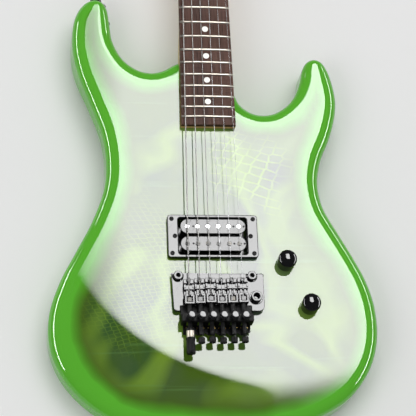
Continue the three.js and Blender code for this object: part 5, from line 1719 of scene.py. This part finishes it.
@dataclass
class Fittings:
    """Knobs, their pots, the output jack, strap buttons, rear covers and neck plate."""

    work: Workshop
    knob_radius: float = 9.3
    dome: float = 4.2

    def control(self, name: str) -> None:
        """Makes a domed knob on its pot, over a felt washer."""
        x, y, _ = centre(f"{name}_knob")
        low, high = (corner[2] for corner in corners(f"{name}_knob"))
        a = np.linspace(0, np.pi / 2, 18)
        shoulder = high - self.dome
        cap = [(self.knob_radius * math.cos(v), shoulder + self.dome * math.sin(v)) for v in a[:-1]]
        inner = [(0, 57.5), (3.25, 57.5), (3.25, 50), (7.2, 50), (7.2, low)]
        knob = turned_shape(
            [
                *inner, (self.knob_radius - 0.5, low), (self.knob_radius - 0.1, low + 0.2),
                (self.knob_radius, low + 0.6), *cap, (0, high)],
            72)
        self.work.piece(
            f"{name}_cap", knob.moved(x, y), GLOSS_BLACK, f"{name}_knob", (f"{name}_knob",), 40, False)
        washer = turned_shape([(4.3, 46.02), (8.4, 46.02), (8.5, 46.2), (8.4, 46.5), (4.3, 46.5)], 40)
        self.work.piece(f"{name}_felt", washer.moved(x, y), FELT)
        can = turned_shape(
            [
                (0, 28), (11.2, 28), (12, 28.8), (12, 36.6), (11.6, 37.4), (7, 37.5), (3.7, 37.5),
                (3.7, 48.4), (3, 48.6), (3, 56.4), (2.5, 57), (0, 57)],
            40)
        nut = slab(circle(0, 0, 5.6, 6), 46.55, 48.2, 0.3, (circle(0, 0, 3.75, 28),))
        lugs = [rounded_block((dx - 1.2, dx + 1.2), (11.5, 17), (34.6, 35.6), 0.8, 0.2) for dx in (-5, 0, 5)]
        self.work.piece(
            f"{name}_potentiometer", joined(can, nut, *lugs).moved(x, y), STEEL, nodes=(f"{name}_pot",))

    def jack(self) -> None:
        """Makes the barrel jack: a turned sleeve with a bevelled flange."""
        y, z = centre("output_jack")[1:]
        profile = [
            (3.3, -27), (6, -27), (6, 0.3), (9.6, 0.3), (10, 0.6), (10, 1.4), (9.2, 2.1), (8.6, 2.6),
            (6.8, 2.6), (6.5, 2.2), (5.4, 2.2), (5.1, 2.6), (4.3, 2.6), (3.5, 2.1), (3.3, 1.6)]
        barrel = turned_shape(profile, 56).turned("Y", 90).moved(JACK_FACE, y, z)
        self.work.piece("jack_barrel", barrel, BLACK_METAL, nodes=("output_jack",))

    def strap_button(self, name: str, at: Pair, heading: float) -> None:
        """Makes a strap button: a dished post and a rounded rim, with its screw."""
        profile = [
            (0, -0.6), (6, -0.6), (6, 0.4), (5.5, 1.8), (4.6, 3.2), (4.0, 5.0), (3.9, 7.2), (4.6, 8.8),
            (6.4, 10.0), (7.4, 10.6), (7.5, 11.2), (7.1, 11.9), (5.2, 12.6), (4.0, 12.6), (2.9, 12.2),
            (0, 12.1)]
        knob = turned_shape(profile, 48)
        bolt = screw(2.7, 1.0, Drive.CROSS, 1.6, 34, 0.7).moved(0, 0, 12.0)
        place = lambda skin: skin.turned("X", -90).turned("Z", math.degrees(heading)).moved(*at, STRAP_Z)
        self.work.piece(f"{name}_knob", place(knob), BLACK_METAL, nodes=(name,))
        self.work.piece(f"{name}_screw", place(bolt), DULL_METAL)

    def plate(self, node: str, outline: np.ndarray, places: list[Pair], finish: Finish) -> None:
        """Makes a rear plate with eased edges, and its flush screws."""
        holes = tuple(circle(x, y, 2.9, 20) for x, y in places)
        sheet = slab(outline, 0.3, 2.0, 0.05, holes, 3, 0.5)
        self.work.piece(f"{node}_sheet", sheet, finish, nodes=(node,))
        screws = [
            screw(2.8, 1.6, Drive.CROSS, 1.4, 8, 0.7).turned("X", 180).moved(x, y, 1.7) for x, y in places]
        self.work.piece(f"{node}_screws", joined(*screws), DULL_METAL)

    def build(self) -> None:
        """Makes every fitting."""
        for name in ("volume", "tone"):
            self.control(name)
        self.jack()
        self.strap_button("strap_button_horn", HORN_BUTTON, HORN_HEADING)
        self.strap_button("strap_button_tail", TAIL_BUTTON, TAIL_HEADING)
        low, high = corners("spring_cover")
        spring = panel(low[0], high[0], low[1], high[1], 6, 8)
        self.plate(
            "spring_cover", spring, [(x, y) for x in (-41.5, 41.5) for y in (low[1] + 5, 50, high[1] - 5)],
            COVER_BLACK)
        plan = np.array(CONTROL_CAVITY, dtype=float)
        away = plan - plan.mean(0)
        away /= np.linalg.norm(away, axis=1)[:, None]
        wide = plan + 5.9 * away
        spots = plan + 0.6 * away
        self.plate(
            "control_cover", softened(wide[::-1], 4.5, 8), [tuple(p) for p in spots[[0, 1, 3, 4, 6]]],
            COVER_BLACK)
        low, high = corners("neck_plate")
        neck = panel(low[0], high[0], low[1], high[1], 4.5, 8)
        at = [(x, y) for x in (low[0] + 6.5, high[0] - 6.5) for y in (low[1] + 6.5, high[1] - 6.5)]
        self.plate("neck_plate", neck, at, BLACK_METAL)


# ---- Studio
@dataclass
class Studio:
    """Pale floor, soft lights and the camera. Lengths here are metres."""

    camera_at: Place = (-0.2423, -0.5358, 1.75224)
    lens: float = 156.6
    tilt: Place = (-0.34592, 0.13933, 0.03989)

    def camera(self) -> None:
        """Places the camera: its axes are the rows of a turn about Z after one about X after one about Y."""
        data = bpy.data.cameras.new("camera")
        data.lens, data.sensor_width = self.lens, 36.0
        data.clip_start, data.clip_end = 0.05, 20
        obj = shown("camera", data)
        rx, ry, rz = self.tilt
        turn = Matrix.Rotation(rz, 3, "Z") @ Matrix.Rotation(rx, 3, "X") @ Matrix.Rotation(ry, 3, "Y")
        obj.matrix_world = Matrix.Translation(self.camera_at) @ turn.transposed().to_4x4()
        bpy.context.scene.camera = obj

    def sheet(self, name: str, corners: list[Place]) -> bpy.types.Object:
        """Makes a flat stage sheet between four corners."""
        mesh = bpy.data.meshes.new(name)
        mesh.from_pydata(corners, [], [tuple(range(4))])
        obj = shown(name, mesh)
        obj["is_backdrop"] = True
        return obj

    @staticmethod
    def coating(obj: bpy.types.Object, name: str) -> tuple[Net, Node]:
        """Gives a sheet a new material and returns its net and its output."""
        made = bpy.data.materials.new(name)
        made.use_nodes = True
        obj.data.materials.append(made)
        net = Net(made.node_tree)
        return net, net.add("OutputMaterial")

    def floor(self) -> None:
        """Lays the floor just under the guitar, with a faint paper grain."""
        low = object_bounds()[0][2]
        size = 6.0
        obj = self.sheet(
            "floor", [(-size, -size, low), (size, -size, low), (size, size, low), (-size, size, low)])
        net, out = self.coating(obj, "floor_paper")
        at = net.add("TexCoord").outputs["Object"]
        noise = net.noise(at, 3.0, 4.0)
        colour = net.mixed(noise, (0.9, 0.9, 0.9), (0.86, 0.86, 0.86))
        shader = net.add(
            "BsdfPrincipled", {"Base Color": colour, "Roughness": 0.9, "Specular IOR Level": 0.1})
        net.tree.links.new(shader.outputs[0], out.inputs[0])

    def glow(
        self, name: str, corners: list[Place], strength: float, bowl: Place | None = None,
        left: Pair = (0, 1), right: float = 9.0
    ) -> None:
        """Hangs a sheet that only polished surfaces see.

        Its glow can be cut to a U: within a radius of a point below it, and within that radius to either side
        above it.

        Args:
            name: The sheet's name.
            corners: Its corners.
            strength: Its radiance.
            bowl: The point's X and Y, and the radius.
            left: Where along X the glow starts and where it is full.
            right: Where along X it ends.
        """
        obj = self.sheet(name, corners)
        for ray in ("camera", "diffuse", "shadow", "transmission", "volume_scatter"):
            setattr(obj, f"visible_{ray}", False)
        net, out = self.coating(obj, name)
        x, y, _ = net.add("SeparateXYZ", {0: net.add("TexCoord").outputs["Object"]}).outputs
        level: Socket | float = strength
        if bowl:
            across = net.math("SUBTRACT", x, bowl[0])
            below = net.math("MINIMUM", net.math("SUBTRACT", y, bowl[1]), 0.0)
            reach = net.math(
                "SQRT",
                net.plus(
                    net.math("POWER", net.math("ABSOLUTE", across, 0.0), 2.0),
                    net.math("POWER", net.math("ABSOLUTE", below, 0.0), 2.0)),
                0.0)
            level = net.times(net.scaled(reach, bowl[2] + 0.022, bowl[2] - 0.012), strength)
            level = net.times(net.scaled(x, *left), level)
            level = net.times(net.scaled(x, right + 0.02, right), level)
        lamp = net.add("Emission", {"Color": (1.0, 1.0, 1.0, 1.0), "Strength": level})
        net.tree.links.new(lamp.outputs[0], out.inputs[0])

    def lamp(self, name: str, at: Place, aim: Place, size: Pair, power: float, glossy: bool = False) -> None:
        """Hangs a soft rectangular lamp aimed at a point."""
        data = bpy.data.lights.new(name, "AREA")
        data.shape, data.size, data.size_y, data.energy = "RECTANGLE", size[0], size[1], power
        obj = shown(name, data)
        obj.location = at
        obj.rotation_euler = (Vector(aim) - Vector(at)).to_track_quat("-Z", "Y").to_euler()
        obj.visible_glossy = glossy

    def world(self) -> None:
        """Fills the surroundings with an even, dim, neutral light."""
        world = bpy.data.worlds.new("studio")
        world.use_nodes = True
        net = Net(world.node_tree)
        out = net.add("OutputWorld")
        mirrored = net.add("LightPath").outputs["Is Glossy Ray"]
        sky = net.add(
            "Background", {"Color": (1.0, 1.0, 1.0, 1.0), "Strength": net.scaled(mirrored, 0, 1, 0.5, 0.07)})
        net.tree.links.new(sky.outputs[0], out.inputs[0])
        bpy.context.scene.world = world

    def build(self) -> None:
        """Sets up the whole stage."""
        self.camera()
        self.floor()
        self.world()
        self.lamp("key", (0.3, 0.9, 1.9), (0.0, 0.05, 0.0), (1.6, 1.2), 15.0)
        self.lamp("fill", (-1.1, -0.6, 1.5), (0.0, 0.0, 0.0), (1.0, 1.0), 6.0)
        z = 1.546
        self.glow(
            "softbox", [(-0.2, 0.2, z), (-0.2, 1.4, z), (0.8, 1.4, z), (0.8, 0.2, z)], 15.8,
            (0.323, 0.7045, 0.424), (-0.07, 0.05), 0.545)
        self.glow(
            "strip_left", [(-1.3, -0.5, 0.5), (-1.3, 1.2, 0.5), (-1.2, 1.2, 0.62), (-1.2, -0.5, 0.62)], 24.0)
        self.glow(
            "strip_right", [(1.3, -0.5, 0.55), (1.3, 1.2, 0.55), (1.22, 1.2, 0.65), (1.22, -0.5, 0.65)], 24.0)
        view = bpy.context.scene.view_settings
        view.view_transform, view.look = "Standard", "None"


def main() -> None:
    """Builds the guitar and its studio."""
    logging.basicConfig(level=logging.INFO, format="%(name)s: %(message)s")
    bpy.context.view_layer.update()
    work, strung = Workshop(), Strung()
    Studio().build()
    Body(work).build(strung)
    neck = Neck(work, strung)
    neck.build()
    tremolo = Tremolo(work, strung)
    tremolo.build()
    Headstock(work, strung, neck).build(tremolo.setbacks)
    Pickup(work, strung).build()
    Fittings(work).build()


if __name__ == "__main__":
    main()
